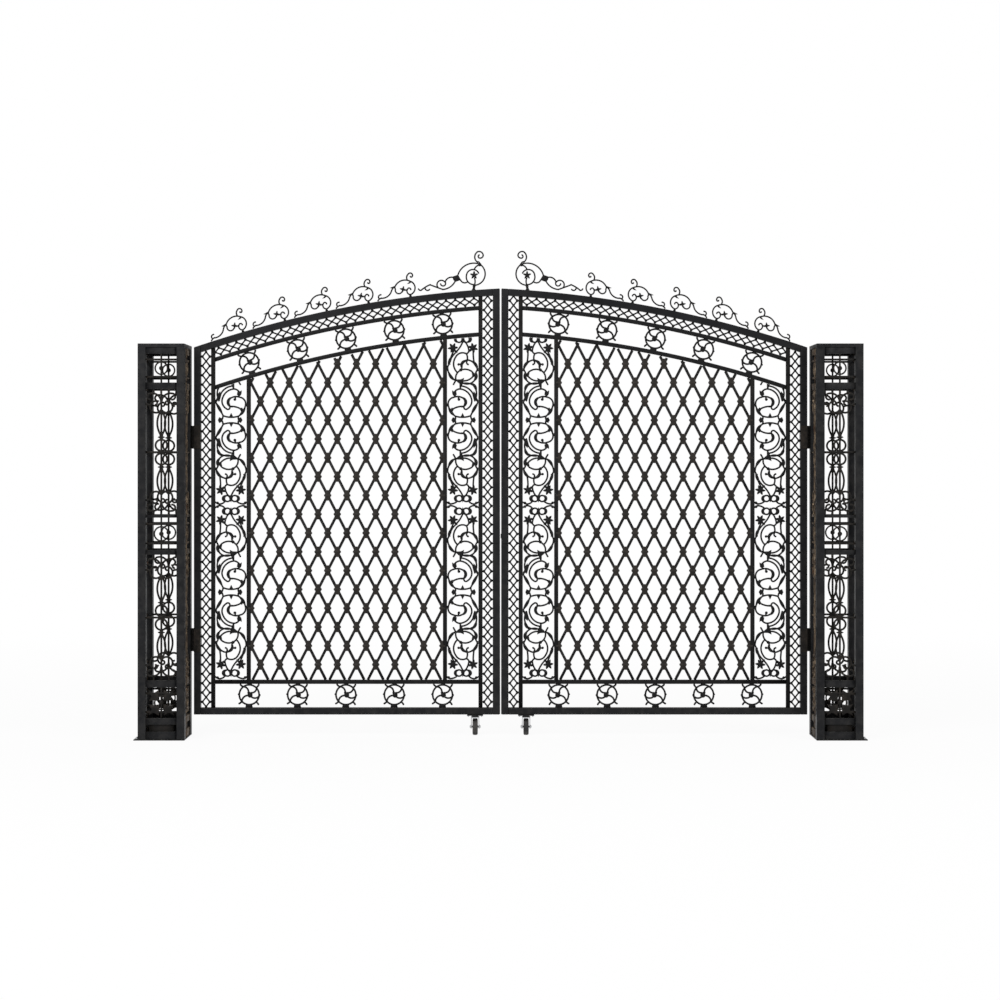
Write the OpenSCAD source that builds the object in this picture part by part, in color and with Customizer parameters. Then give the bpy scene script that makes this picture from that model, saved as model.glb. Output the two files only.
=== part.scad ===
// Wrought iron driveway gate
// Two arched leaves hang between openwork posts and roll on casters near their meeting stiles.
// Millimetres. X runs along the gate, Y away from the viewer, Z up.
// The origin is the middle of the left post's underside.

/* [Leaf frame] */
// Width of one leaf
leaf_w = 1830; // [1600:1:2000]
// Height of the leaf's underside above the ground
leaf_lift = 128; // [126:1:170]
// Width of the stiles and rails
frame_w = 40; // [32:1:50]
// Depth of the stiles and rails
frame_depth = 40; // [30:1:50]
// Width of the inner bars
bar_w = 20; // [14:1:26]
// Depth of the inner bars
bar_depth = 20; // [16:1:28]
// Gap between the two meeting stiles
meet_gap = 14; // [13:1:30]
// Distance from a post to its leaf
post_gap = 24; // [18:1:40]
// Distance of the leaf's middle behind the post's middle
leaf_set = 80; // [60:1:84]

/* [Arch] */
// Height of the arch's apex
arch_top = 2690; // [2500:1:2900]
// Radius of the arch's top edge
arch_r = 6800; // [6000:10:7600]
// Distance of the arch's centre past the gate's mid-line
arch_past = 353; // [250:1:450]

/* [Borders and rosettes] */
// Width of the linked border beside a stile
ring_band = 66; // [56:1:80]
// Height of the linked border below the arch
arch_border = 61; // [52:1:76]
// Spacing that the border's knobs aim for
ring_pitch = 55.6; // [48:0.1:64]
// Width of the border's wire
ring_wire = 7.6; // [5:0.1:10]
// Radius of the border's knobs
ring_knob_r = 7; // [5:0.1:9]
// Height of the lower rosette band
rosette_band = 142; // [120:1:160]
// Height of the rosette band below the arch
arch_rosette_band = 138; // [120:1:160]
// Spacing of the rosettes
rosette_pitch = 290; // [240:1:310]
// Rosettes in one band
rosette_count = 5; // [3:1:5]
// Shift of the rosettes towards the hinge stile
rosette_off = 6; // [0:1:12]
// Width of a rosette's wire
rosette_wire = 8; // [6:0.1:11]
// Radius of a rosette's boss
boss_r = 14; // [10:1:18]

/* [Lattice and scroll panels] */
// Diamonds across one leaf
diamonds_across = 10; // [8:1:12]
// Height of one diamond
diamond_h = 225.5; // [180:0.5:260]
// Height of the lattice's first crossing above the lower bar's underside
lattice_foot = 3; // [0:1:20]
// Width of the lattice bars
lattice_bar = 14; // [9:1:18]
// Depth of the lattice bars
lattice_depth = 12; // [8:1:16]
// Width of the cast collar on a crossing
collar_w = 30; // [24:1:36]
// Height of the cast collar on a crossing
collar_h = 58; // [46:1:66]
// Width of a scroll panel
scroll_w = 193; // [170:1:220]
// Height of half a scroll unit, from flower axis to leaf axis
scroll_h = 524; // [480:0.5:560]
// Width of a scroll's wire
scroll_wire = 8.6; // [6:0.1:11]
// Depth of the cast ornaments
cast_depth = 12; // [8:1:16]

/* [Crest] */
// Scrolls on top of one leaf
crest_count = 5; // [3:1:5]
// Distance of the first crest scroll's foot from the hinge edge
crest_start = 293; // [260:1:320]
// Distance of the last crest scroll's foot from the finial's foot
crest_last = 379; // [360:1:420]
// Height of a crest scroll
crest_h = 144; // [110:1:170]
// Width of the crest's wire
crest_wire = 7; // [5:0.1:9]
// Height of the finial at the meeting end
finial_h = 236; // [200:1:270]
// Distance of the finial's foot from the meeting edge
finial_in = 154; // [140:1:170]

/* [Posts] */
// Width and depth of a post
post_w = 276; // [260:1:320]
// Height of a post
post_h = 2338; // [2250:1:2400]
// Width of a corner leg
leg_w = 47; // [40:1:56]
// Thickness of the base plate
base_t = 6; // [4:0.5:10]
// How far the base plate stands out on the outer side
base_out = 25; // [15:1:40]
// Thickness of the cap
cap_t = 22; // [15:1:30]
// Depth of the cast face panels
face_depth = 14; // [8:1:20]
// How far the face panels lie behind the legs' faces
face_set = 6; // [2:1:12]
// Width of the face panels' wire
face_wire = 8; // [5:0.5:12]

/* [Hinges] */
// Height of a hinge
hinge_h = 138; // [120:1:160]
// Height of the upper hinge's middle
hinge_top_z = 1790; // [1600:1:1900]
// Height of the lower hinge's middle
hinge_low_z = 572; // [450:1:700]
// Radius of the hinge pins
pin_r = 7; // [5:0.5:8]
// Radius of the hinge barrels
barrel_r = 11; // [10:0.5:12]
// Distance of the pin's axis inside the stile's edge
pin_in = 10; // [8:1:14]
// Distance of the pin's axis behind the stile
pin_back = 17; // [17:0.5:20]
// Height of a hinge bracket's lug
lug_h = 28; // [20:1:32]
// Gap between a hinge bracket's plate and the stile's edge
bracket_gap = 6; // [5:0.5:10]
// Thickness of the hinge plate in front of the stile
hinge_plate_t = 4; // [3:0.5:6]
// Thickness of the strap behind the stile
strap_t = 8; // [7:0.5:10]

/* [Casters] */
// Distance of a caster's swivel from the meeting edge
caster_in = 146; // [120:1:200]
// Radius of a caster's wheel
wheel_r = 50; // [44:1:52]
// Width of a caster's wheel
wheel_w = 32; // [26:1:36]
// Distance of the wheel's axle behind the swivel
caster_trail = 28; // [20:1:34]
// Radius of the wheel's axle
axle_r = 6; // [5:0.5:8]
// Radius of the swivel's pin
swivel_r = 8; // [6:0.5:10]
// Width of a caster's top plate
caster_plate_w = 96; // [80:1:120]
// Thickness of a caster's top plate
caster_plate_t = 6; // [4:0.5:7]
// Thickness of the fork's sides
fork_t = 4; // [3:0.5:6]
// Length of the fork's top plate
fork_len = 60; // [50:1:70]

/* [Lock] */
// Height of the lock's middle
lock_z = 1198; // [1000:1:1400]
// Height of a lock plate
lock_h = 84; // [60:1:120]
// Thickness of a lock plate
lock_t = 10; // [8:1:14]
// Reach of the tongue into the gap
tongue = 7; // [4:0.5:7]

/* [Clearances] */
// Gap at a seat that isn't flat
seat = 0.3; // [0.2:0.05:0.4]
// Gap round a turning pin
running = 0.05; // [0.02:0.01:0.1]
// Gap beside a turning wheel
wheel_gap = 5; // [5:0.5:7]

/* [Hidden] */
$fn = 48;
arch_fn = 720;
iron = [0.14, 0.14, 0.155];
cast = [0.18, 0.18, 0.19];
zinc = [0.62, 0.64, 0.66];
tread = [0.12, 0.12, 0.12];

// Places along a leaf, from its hinge edge
leaf_x = post_w / 2 + post_gap;
mid_x = leaf_x + leaf_w + meet_gap / 2;
border_u = frame_w;
inner_u = border_u + ring_band;
scroll_u = inner_u + bar_w;
panel_u = scroll_u + scroll_w;
lattice_u = panel_u + bar_w;
lattice_w = leaf_w - 2 * lattice_u;

// Heights of a leaf's lower pieces
rail_z = leaf_lift + frame_w;
lower_bar_z = rail_z + rosette_band;
panel_z = lower_bar_z + bar_w;

// Drops of the arched pieces below the arch's top edge
border_drop = frame_w;
upper_bar_drop = border_drop + arch_border;
rosette_drop = upper_bar_drop + bar_w;
lower_bar_drop = rosette_drop + arch_rosette_band;
panel_drop = lower_bar_drop + bar_w;

// The arch's centre in a leaf's own plane, and the middle of the border below it
arch_u = leaf_w + meet_gap / 2 + arch_past;
arch_z = arch_top - arch_r;
arch_mid_r = arch_r - border_drop - arch_border / 2;

// Distance of a border's knobs from its middle
knob_x = ring_band / 2 - seat - ring_knob_r;
arch_knob_x = arch_border / 2 - seat - ring_knob_r;

// Height of a rosette's ring above the middle of its band, drawn for a band of 142
rosette_drawn = 142;
rosette_ring_r = 65;
function rosette_rise(band) = band / 2 - seat - rosette_ring_r * band / rosette_drawn;

// Spacing of the crest scrolls
crest_pitch = (leaf_w - finial_in - crest_last - crest_start) / (crest_count - 1);

// Diamonds of the lattice
diamond_w = lattice_w / diamonds_across;
diamond_z = lower_bar_z + lattice_foot;
diamond_rows = ceil((arch_top - diamond_z) / diamond_h);

// Flower axes of the scroll units, one whole unit apart
scroll_axis_z = panel_z + 6;
// Size at which the scrolls' points are drawn
scroll_drawn = [193, 524];

// Post faces
face_w = post_w - 2 * leg_w;
face_mid = post_w / 2 - face_set - face_depth / 2;
leg_top = post_h - cap_t;
right_post_x = 2 * mid_x;

// Lower and upper edges of the rails in a post's face, as heights from the base plate, drawn for a height of 2294
face_h = leg_top - base_t;
face_rails = [for (r = [[0, 45], [86, 124], [304, 345], [1080, 1108], [1297, 1312], [2049, 2088], [2256, 2294]])
    r * face_h / 2294];

// Hinge axis in a leaf's own frame
pin_y = frame_depth / 2 + pin_back;
hinge_zs = [hinge_low_z, hinge_top_z];
barrel_h = hinge_h - 2 * lug_h - 2 * seat;
bracket_t = post_gap - bracket_gap;

// Caster heights
caster_u = leaf_w - caster_in;
caster_top = leaf_lift - caster_plate_t;
race_h = 8;
fork_top = caster_top - race_h - seat;
fork_plate_t = 7;
fork_in = wheel_w / 2 + wheel_gap;

// Arcs and patches

// Centre of the circle through three points
function centre(a, b, c) =
    let (d = 2 * (a[0] * (b[1] - c[1]) + b[0] * (c[1] - a[1]) + c[0] * (a[1] - b[1])))
    [(a * a) * (b[1] - c[1]) + (b * b) * (c[1] - a[1]) + (c * c) * (a[1] - b[1]),
     (a * a) * (c[0] - b[0]) + (b * b) * (a[0] - c[0]) + (c * c) * (b[0] - a[0])] / d;

function angle_of(p, m) = atan2(p[1] - m[1], p[0] - m[0]);

// Turn of the arc that runs from a through b to c round the centre m
function sweep(a, b, c, m) =
    let (first = angle_of(a, m), mid = (angle_of(b, m) - first + 720) % 360)
    let (last = (angle_of(c, m) - first + 720) % 360)
    mid < last ? last : last - 360;

// Bent bar from a through b to c
module bow(a, b, c, w) {
    m = centre(a, b, c);
    r = norm(a - m);
    first = angle_of(a, m);
    turn = sweep(a, b, c, m);
    far = 2 * r + w;
    fine = max($fn, 8 * ceil(sqrt(r)));
    translate(m) intersection() {
        difference() {
            circle(r + w / 2, $fn = fine);
            circle(r - w / 2, $fn = fine);
        }
        polygon(concat([[0, 0]], [for (i = [0 : 4]) far * [cos(first + turn * i / 4), sin(first + turn * i / 4)]]));
    }
}

// Bars for a list of arcs, each given by three points that a function puts in place
module bows(list, place, w) {
    for (b = list) bow(place(b[0]), place(b[1]), place(b[2]), w);
}

// Round buds for a list of points and radii
module buds(list, place, k) {
    for (b = list) dot(place(b[0]), k * b[1]);
}

// Flat leaf with its points always taken the same way round
function signed_area(q) =
    let (n = len(q)) [for (i = [0 : n - 1]) q[i][0] * q[(i + 1) % n][1] - q[(i + 1) % n][0] * q[i][1]]
    * [for (i = [0 : n - 1]) 0.5];

function turned(q) = [for (i = [len(q) - 1 : -1 : 0]) q[i]];

module patch(q) {
    polygon(signed_area(q) > 0 ? q : turned(q));
}

module dot(p, r) {
    translate(p) circle(r);
}

module ring(p, r, w) {
    translate(p) difference() {
        circle(r);
        circle(r - w);
    }
}

// Flower with pointed petals
module star(p, r, petals, turn = 0) {
    translate(p) polygon([for (i = [0 : 2 * petals - 1])
        (i % 2 == 0 ? r : 0.5 * r) * [cos(turn + 180 * i / petals), sin(turn + 180 * i / petals)]]);
}

// The leaf's plane

// Height of the arch over a place u, with a drop below its top edge
function arch_at(u, drop) = arch_z + sqrt(pow(arch_r - drop, 2) - pow(arch_u - u, 2));

// Stands a flat shape up in the leaf's plane
module upright(depth) {
    rotate([90, 0, 0]) linear_extrude(depth, center = true) children();
}

module under_arch(drop) {
    translate([arch_u, arch_z]) circle(arch_r - drop, $fn = arch_fn);
}

// Part of a leaf between two places and over a height, cut off by the arch
module field(u0, u1, z0, drop) {
    intersection() {
        translate([u0, z0]) square([u1 - u0, arch_top - z0]);
        under_arch(drop);
    }
}

// Arched strip between two drops
module arch_band(u0, u1, drop0, drop1) {
    difference() {
        field(u0, u1, panel_z, drop0);
        under_arch(drop1);
    }
}

module on_left_leaf() {
    translate([leaf_x, leaf_set, 0]) children();
}

module on_right_leaf() {
    translate([right_post_x, 0, 0]) mirror([1, 0, 0]) on_left_leaf() children();
}

module at_right_post() {
    translate([right_post_x, 0, 0]) mirror([1, 0, 0]) children();
}

// Leaf frame

module hinge_stile() {
    color(iron) upright(frame_depth) field(0, frame_w, leaf_lift, 0);
}

module meeting_stile() {
    color(iron) upright(frame_depth) field(leaf_w - frame_w, leaf_w, leaf_lift, 0);
}

module bottom_rail() {
    color(iron) upright(frame_depth) translate([frame_w, leaf_lift]) square([leaf_w - 2 * frame_w, frame_w]);
}

module top_rail() {
    color(iron) upright(frame_depth) arch_band(frame_w, leaf_w - frame_w, 0, frame_w);
}

module uprights() {
    color(iron) upright(bar_depth) {
        field(inner_u, scroll_u, rail_z, upper_bar_drop);
        field(leaf_w - scroll_u, leaf_w - inner_u, rail_z, upper_bar_drop);
        field(panel_u, lattice_u, panel_z, panel_drop + seat);
        field(leaf_w - lattice_u, leaf_w - panel_u, panel_z, panel_drop + seat);
    }
}

module cross_bars() {
    color(iron) upright(bar_depth) {
        arch_band(scroll_u, leaf_w - scroll_u, upper_bar_drop, rosette_drop);
        arch_band(scroll_u, leaf_w - scroll_u, lower_bar_drop, panel_drop);
        translate([scroll_u, lower_bar_z]) square([leaf_w - 2 * scroll_u, bar_w]);
    }
}

// Linked borders

// Crossed wires between two pairs of knobs, drawn upward from the first pair
module link(spacing, knob, first) {
    for (side = [-1, 1]) {
        translate([0, spacing / 2]) rotate(side * atan2(spacing, 2 * knob))
            square([norm([2 * knob, spacing]), ring_wire], center = true);
        dot([side * knob, spacing], ring_knob_r);
        if (first) dot([side * knob, 0], ring_knob_r);
    }
}

// Border beside a stile
module upright_border(u0, u1) {
    z0 = rail_z + seat + ring_knob_r;
    z1 = min(arch_at(u0, border_drop), arch_at(u1, border_drop)) - seat - ring_knob_r;
    count = round((z1 - z0) / ring_pitch);
    spacing = (z1 - z0) / count;
    for (i = [0 : count - 1]) translate([(u0 + u1) / 2, z0 + i * spacing]) link(spacing, knob_x, i == 0);
}

// Angle of a place along the arched border, from the arch's own upright
function border_angle(u) = asin((arch_u - u) / arch_mid_r);

// Border below the top rail
module arched_border() {
    end = seat + ring_knob_r;
    a0 = border_angle(inner_u + end + arch_knob_x * sin(border_angle(inner_u)));
    a1 = border_angle(leaf_w - inner_u - end - arch_knob_x * sin(border_angle(leaf_w - inner_u)));
    length = (a0 - a1) * PI / 180 * arch_mid_r;
    count = round(length / ring_pitch);
    for (i = [0 : count - 1]) {
        a = a0 - i * (a0 - a1) / count;
        translate([arch_u - arch_mid_r * sin(a), arch_z + arch_mid_r * cos(a)]) rotate(a - 90)
            link(length / count, arch_knob_x, i == 0);
    }
}

module ring_borders() {
    color(cast) upright(cast_depth) {
        upright_border(border_u, inner_u);
        upright_border(leaf_w - inner_u, leaf_w - border_u);
        arched_border();
    }
}

// Rosettes

// Arms, tangs, buds and stubs of a rosette, from the middle of its ring
rosette_arms = [
    [[-6, 8], [-12, 38], [-37, 48]], [[8, 12], [40, 26], [44, 46]],
    [[-6, -4], [-32, -14], [-44, -42]], [[10, -10], [38, -20], [62, -6]],
];
rosette_tangs = [
    [[-36, 48], [-48, 56], [-56, 74]], [[44, 44], [54, 54], [59, 74]],
];
rosette_buds = [[[-63, 3], 6], [[62, -2], 7], [[-44, -41], 8], [[-3, 12], 9]];
rosette_stubs = [[[-16, 60], [20, 60], [14, 80], [-10, 80]], [[-20, -60], [18, -60], [22, -84], [-24, -84]]];

// Ring with a boss, four bent arms, and tangs and stubs to the bars
module rosette(band) {
    k = band / rosette_drawn;
    place = function (p) k * p;
    ring([0, 0], k * rosette_ring_r, rosette_wire);
    dot(place([5, -2]), boss_r);
    bows(rosette_arms, place, rosette_wire);
    bows(rosette_tangs, place, rosette_wire);
    buds(rosette_buds, place, k);
    for (stub = rosette_stubs) patch([for (p = stub) place(p)]);
}

module rosettes() {
    color(cast) upright(cast_depth) for (i = [0 : rosette_count - 1]) {
        u = leaf_w / 2 - rosette_off + (i - (rosette_count - 1) / 2) * rosette_pitch;
        reach = rosette_band * 0.6;
        intersection() {
            translate([u, rail_z + rosette_band / 2 + rosette_rise(rosette_band)]) rosette(rosette_band);
            translate([u - reach, rail_z + seat]) square([2 * reach, rosette_band - 2 * seat]);
        }
        drop = rosette_drop + arch_rosette_band / 2 - rosette_rise(arch_rosette_band);
        intersection() {
            translate([u, arch_at(u, drop)]) rotate(asin((arch_u - u) / (arch_r - drop))) rosette(arch_rosette_band);
            arch_band(u - reach, u + reach, rosette_drop + seat, lower_bar_drop - seat);
        }
    }
}

// Lattice

module lattice_field() {
    field(lattice_u + seat, leaf_w - lattice_u - seat, panel_z + seat, panel_drop + seat);
}

// Slanted bars, from panel bar to panel bar
module slanted_bars() {
    rise = diamonds_across * diamond_h;
    tilt = atan2(rise, lattice_w);
    for (i = [-diamonds_across : diamond_rows], side = [-1, 1])
        translate([leaf_w / 2, diamond_z + i * diamond_h + rise / 2]) rotate(side * tilt)
            square([norm([lattice_w, rise]), lattice_bar], center = true);
}

module collars() {
    for (row = [1 : 2 * diamond_rows], i = [0 : diamonds_across]) {
        u = lattice_u + (i + (row % 2) / 2) * diamond_w;
        z = diamond_z + row * diamond_h / 2;
        if (u < leaf_w - lattice_u + 1 && z + collar_h / 2 < arch_at(u, panel_drop))
            translate([u, z]) square([collar_w, collar_h], center = true);
    }
}

module lattice() {
    color(cast) upright(lattice_depth) intersection() {
        union() {
            slanted_bars();
            collars();
        }
        lattice_field();
    }
}

// Scroll panels

// Arcs of half a scroll unit, from the flower axis at 0 to the leaf axis, with the lattice at x = 0
scroll_arcs = [
    // Ties at the flower axis, and the two stems that cross between the rings
    [[22, 8], [12, 12], [-2, 20]], [[18, 6], [42, 8], [66, 22]],
    [[172, 6], [182, 10], [195, 18]], [[176, 6], [152, 8], [135, 22]],
    [[104, 38], [84, 84], [62, 116]], [[97, 38], [124, 70], [143, 114]],
    [[40, 91], [52, 106], [66, 114]], [[161, 91], [152, 106], [143, 114]],
    // Left leaf arc, its bud on the bar and the arc above it
    [[45, 108], [32, 148], [20, 184]], [[20, 184], [14, 198], [4, 207]], [[22, 180], [40, 146], [66, 116]],
    [[8, 208], [27, 245], [60, 272]], [[60, 272], [52, 292], [46, 318]],
    // Large C scroll from the right stem to the knot
    [[143, 114], [100, 127], [66, 146]], [[66, 146], [46, 196], [62, 268]],
    // Loop inside it with its tie to the right arc
    [[98, 226], [96, 200], [104, 178]], [[104, 178], [128, 154], [143, 116]], [[116, 166], [132, 186], [122, 222]],
    [[80, 190], [90, 192], [98, 190]], [[131, 182], [148, 178], [166, 168]],
    // Waved arm from the knot to the right bud and the small leaf
    [[62, 266], [76, 238], [112, 227]], [[110, 224], [150, 214], [190, 212]], [[112, 226], [140, 230], [162, 246]],
    // Right arc, below and above its bud on the bar
    [[190, 212], [170, 182], [165, 150]], [[165, 150], [166, 130], [162, 108]],
    [[188, 216], [183, 252], [172, 282]], [[172, 282], [146, 293], [96, 284]],
    // Fan of ribs from the large leaf
    [[96, 297], [130, 303], [158, 308]], [[158, 308], [176, 322], [182, 342]], [[182, 342], [181, 362], [174, 380]],
    [[88, 312], [140, 340], [170, 378]], [[82, 336], [128, 362], [152, 410]], [[152, 410], [142, 462], [100, 482]],
    // Hooked C scroll with its stem
    [[44, 440], [82, 447], [110, 428]], [[110, 428], [114, 404], [92, 384]], [[92, 384], [84, 386], [78, 394]],
    [[50, 358], [66, 372], [78, 394]], [[52, 360], [66, 352], [82, 338]],
    // Upper left arcs from their bud on the bar
    [[8, 430], [32, 410], [56, 372]], [[8, 432], [26, 448], [36, 466]], [[36, 462], [38, 448], [46, 440]],
    [[34, 464], [48, 480], [54, 500]], [[57, 498], [55, 512], [51, 528]],
    // Curve along the leaf axis and the upper right arc
    [[54, 500], [100, 506], [154, 496]], [[154, 496], [168, 460], [190, 418]], [[154, 496], [158, 512], [164, 528]],
];
scroll_buds = [
    [[66, 114], 8], [[4, 207], 10], [[190, 213], 10], [[60, 271], 8], [[80, 191], 9], [[158, 308], 8],
    [[78, 396], 9], [[4, 432], 10], [[110, 225], 7],
];
scroll_leaves = [
    [[12, 198], [16, 170], [26, 168], [30, 190]],
    [[152, 240], [160, 234], [172, 246], [170, 264], [158, 268]],
    [[58, 276], [88, 279], [107, 268], [103, 296], [86, 341], [79, 340], [79, 306], [66, 290]],
    [[38, 350], [60, 348], [68, 372], [52, 378]],
    [[162, 364], [172, 364], [186, 394], [196, 410], [196, 428], [176, 406]],
    [[26, 468], [40, 474], [46, 452], [34, 448]],
    [[102, 438], [116, 430], [121, 412], [116, 394], [106, 394], [109, 412]],
    [[86, 504], [110, 504], [98, 478]],
];

// Half a scroll unit; side is 1 above its flower axis and -1 below it
module half_scroll(side) {
    k = scroll_w / scroll_drawn[0];
    place = function (p) [k * p[0], side * p[1] * scroll_h / scroll_drawn[1]];
    for (x = [80.5, 120]) ring(place([x, 36]), 24 * k, scroll_wire);
    star(place([40, 91]), 28 * k, 5, side * 54);
    star(place([161, 91]), 28 * k, 5, side * 18);
    bows(scroll_arcs, place, scroll_wire);
    buds(scroll_buds, place, k);
    for (leaf = scroll_leaves) patch([for (p = leaf) place(p)]);
}

// Scroll units stacked from the bottom
module scroll_stack(top) {
    units = ceil((top - scroll_axis_z) / (2 * scroll_h));
    for (i = [0 : units], side = [-1, 1])
        if (scroll_axis_z + 2 * i * scroll_h + (side - 1) / 2 * scroll_h < top && i + side > -1)
            translate([0, scroll_axis_z + 2 * i * scroll_h]) half_scroll(side);
}

// What lies between two upright bars, clipped to its panel
module scrolls_beside(u0, u1) {
    intersection() {
        children();
        field(u0 + seat, u1 - seat, panel_z + seat, panel_drop + seat);
    }
}

module meeting_scrolls() {
    color(cast) upright(cast_depth) scrolls_beside(leaf_w - panel_u, leaf_w - scroll_u)
        translate([leaf_w - panel_u, 0]) scroll_stack(arch_at(leaf_w - scroll_u, panel_drop));
}

module hinge_scrolls() {
    color(cast) upright(cast_depth) scrolls_beside(scroll_u, panel_u)
        translate([panel_u, 0]) mirror([1, 0]) scroll_stack(arch_at(panel_u, panel_drop));
}

// Crest

// Arcs of a crest scroll on its foot, drawn 144 high
crest_arcs = [
    // Arch from the foot over the top into the waved tail
    [[2, 14], [34, 52], [9, 94]], [[9, 94], [-31, 105], [-84, 74]], [[-84, 74], [-97, 66], [-110, 48]],
    [[-109, 50], [-134, 22], [-177, 15]],
    // Hook on top
    [[-4, 99], [-8, 120], [3, 137]], [[3, 137], [24, 139], [27, 121]], [[27, 123], [22, 117], [14, 121]],
    // Volute inside the foot, and the stem and C scroll of the flower
    [[0, 14], [-17, 38], [-7, 53]], [[-8, 53], [2, 53], [7, 43]], [[-16, 46], [-26, 44], [-39, 50]],
    [[-47, 38], [-66, 28], [-84, 58]], [[-84, 56], [-86, 65], [-85, 76]],
    // Fork of the tail
    [[-172, 16], [-186, 12], [-204, -6]], [[-186, 12], [-190, 28], [-175, 36]],
];
crest_leaves = [
    [[-80, 80], [-97, 75], [-117, 70], [-100, 62], [-86, 66]], [[16, 86], [8, 94], [-12, 79], [4, 80]],
    [[-9, -10], [9, -10], [4, 18], [-4, 18]],
];
crest_flower = [-39, 51];

module crest_scroll(k) {
    place = function (p) k * p;
    bows(crest_arcs, place, crest_wire);
    for (leaf = crest_leaves) patch([for (p = leaf) place(p)]);
    star(place(crest_flower), 21 * k, 4, 70);
}

module crest() {
    color(cast) upright(cast_depth) for (i = [0 : crest_count - 1]) {
        u = crest_start + i * crest_pitch;
        slope = asin((arch_u - u) / arch_r);
        difference() {
            translate([u, arch_at(u, 0)]) rotate(slope) crest_scroll(crest_h / 144);
            under_arch(-seat);
        }
    }
}

// Arcs of the finial on its foot, drawn 236 high
finial_arcs = [
    // Ring at the right and the spiral on top
    [[4, 30], [67, 84], [40, 154]], [[24, 168], [6, 204], [20, 231]], [[18, 231], [44, 232], [57, 208]],
    [[57, 212], [50, 197], [36, 193]], [[38, 193], [27, 200], [32, 212]], [[36, 152], [34, 166], [22, 172]],
    // Left arc down to the leafy collar, and the open ring with its flower
    [[32, 158], [-36, 156], [-96, 88]], [[30, 102], [-14, 124], [-44, 86]], [[-44, 89], [-32, 48], [4, 34]],
    [[-80, 64], [-58, 45], [-36, 52]], [[36, 152], [14, 142], [2, 122]], [[4, 74], [8, 54], [4, 32]],
    // Small spiral and the long waved tail
    [[-118, 76], [-152, 74], [-172, 48]], [[-172, 51], [-186, 26], [-199, 38]], [[-172, 48], [-196, 60], [-214, 16]],
    [[-110, 58], [-142, 20], [-188, 5]], [[-185, 5], [-222, 18], [-264, 34]], [[-261, 34], [-292, 18], [-316, 0]],
    [[-313, 1], [-325, 1], [-332, 10]], [[-292, 17], [-282, 0], [-264, 7]],
];
finial_buds = [[[4, 33], 8], [[36, 154], 11], [[-98, 74], 12], [[-172, 49], 5], [[-186, 5], 5], [[-262, 34], 5]];
finial_collar = [[-94, 94], [-76, 62], [-112, 50], [-124, 64], [-128, 82]];
finial_foot = [[-11, -12], [11, -12], [5, 10], [5, 32], [-2, 32], [-4, 10]];
finial_flower = [2, 91];

module finial_scroll(k) {
    place = function (p) k * p;
    bows(finial_arcs, place, crest_wire);
    buds(finial_buds, place, k);
    patch([for (p = finial_collar) place(p)]);
    patch([for (p = finial_foot) place(p)]);
    star(place(finial_flower), 26 * k, 5, 90);
}

module finial() {
    u = leaf_w - finial_in;
    color(cast) upright(cast_depth) difference() {
        translate([u, arch_at(u, 0)]) finial_scroll(finial_h / 236);
        under_arch(-seat);
    }
}

// Posts

module post_base() {
    color(iron) translate([-post_w / 2 - base_out, -post_w / 2, 0]) cube([post_w + base_out, post_w, base_t]);
}

module post_legs() {
    inset = post_w / 2 - leg_w / 2;
    color(iron) for (x = [-inset, inset], y = [-inset, inset])
        translate([x - leg_w / 2, y - leg_w / 2, base_t]) cube([leg_w, leg_w, leg_top - base_t]);
}

module post_cap() {
    color(iron) translate([-post_w / 2, -post_w / 2, leg_top]) cube([post_w, post_w, cap_t]);
}

// Ring, centre bar and cross bars of a square opening
module square_motif(z0, z1) {
    w = face_wire;
    mid = (z0 + z1) / 2;
    h = z1 - z0;
    ring([0, mid], 0.25 * h, w);
    translate([-w / 2, z0 - 1]) square([w, h + 2]);
    for (side = [-1, 1]) translate([-face_w / 2, mid + side * 0.3 * h - w / 2]) square([face_w, w]);
}

// Arcs of a quarter of a tall opening's motif, drawn for a half height of 367 and a width of 182
tall_arcs = [
    [[2, 8], [34, 38], [2, 72]], [[2, 98], [24, 168], [2, 240]],
    [[2, 246], [66, 262], [34, 298]], [[36, 298], [24, 286], [36, 276]],
    [[2, 290], [24, 334], [64, 342]], [[62, 342], [82, 322], [60, 306]],
    [[64, 270], [78, 278], [93, 279]], [[42, 338], [45, 354], [45, 370]],
];

// Stem, flowers and scrolls of a tall opening
module tall_motif(z0, z1) {
    mid = (z0 + z1) / 2;
    h = (z1 - z0) / 2;
    for (x = [-1, 1], z = [-1, 1]) {
        place = function (p) [x * p[0] * face_w / 182, mid + z * p[1] * h / 367];
        bows(tall_arcs, place, face_wire);
        star(place([0, 88]), 22, 6);
    }
    translate([-face_wire / 2, z0 - 1]) square([face_wire, z1 - z0 + 2]);
    translate([-face_w / 2, mid - face_wire / 2]) square([face_w, face_wire]);
    dot([0, mid], 14);
}

// Cast panel of one post face, with its rails
module face_panel() {
    translate([0, base_t, 0]) {
        for (r = face_rails) translate([-face_w / 2, r[0]]) square([face_w, r[1] - r[0]]);
        intersection() {
            union() {
                square_motif(face_rails[1][1], face_rails[2][0]);
                tall_motif(face_rails[2][1], face_rails[3][0]);
                square_motif(face_rails[3][1], face_rails[4][0]);
                tall_motif(face_rails[4][1], face_rails[5][0]);
                square_motif(face_rails[5][1], face_rails[6][0]);
            }
            translate([-face_w / 2, 0]) square([face_w, face_h]);
        }
    }
}

// The same panel on two opposite faces
module face_pair() {
    for (side = [-1, 1]) translate([0, side * face_mid, 0]) upright(face_depth) face_panel();
}

module post_front_back() {
    color(cast) face_pair();
}

module post_sides() {
    color(cast) rotate([0, 0, 90]) face_pair();
}

// Hinges, in the left leaf's own frame

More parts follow.
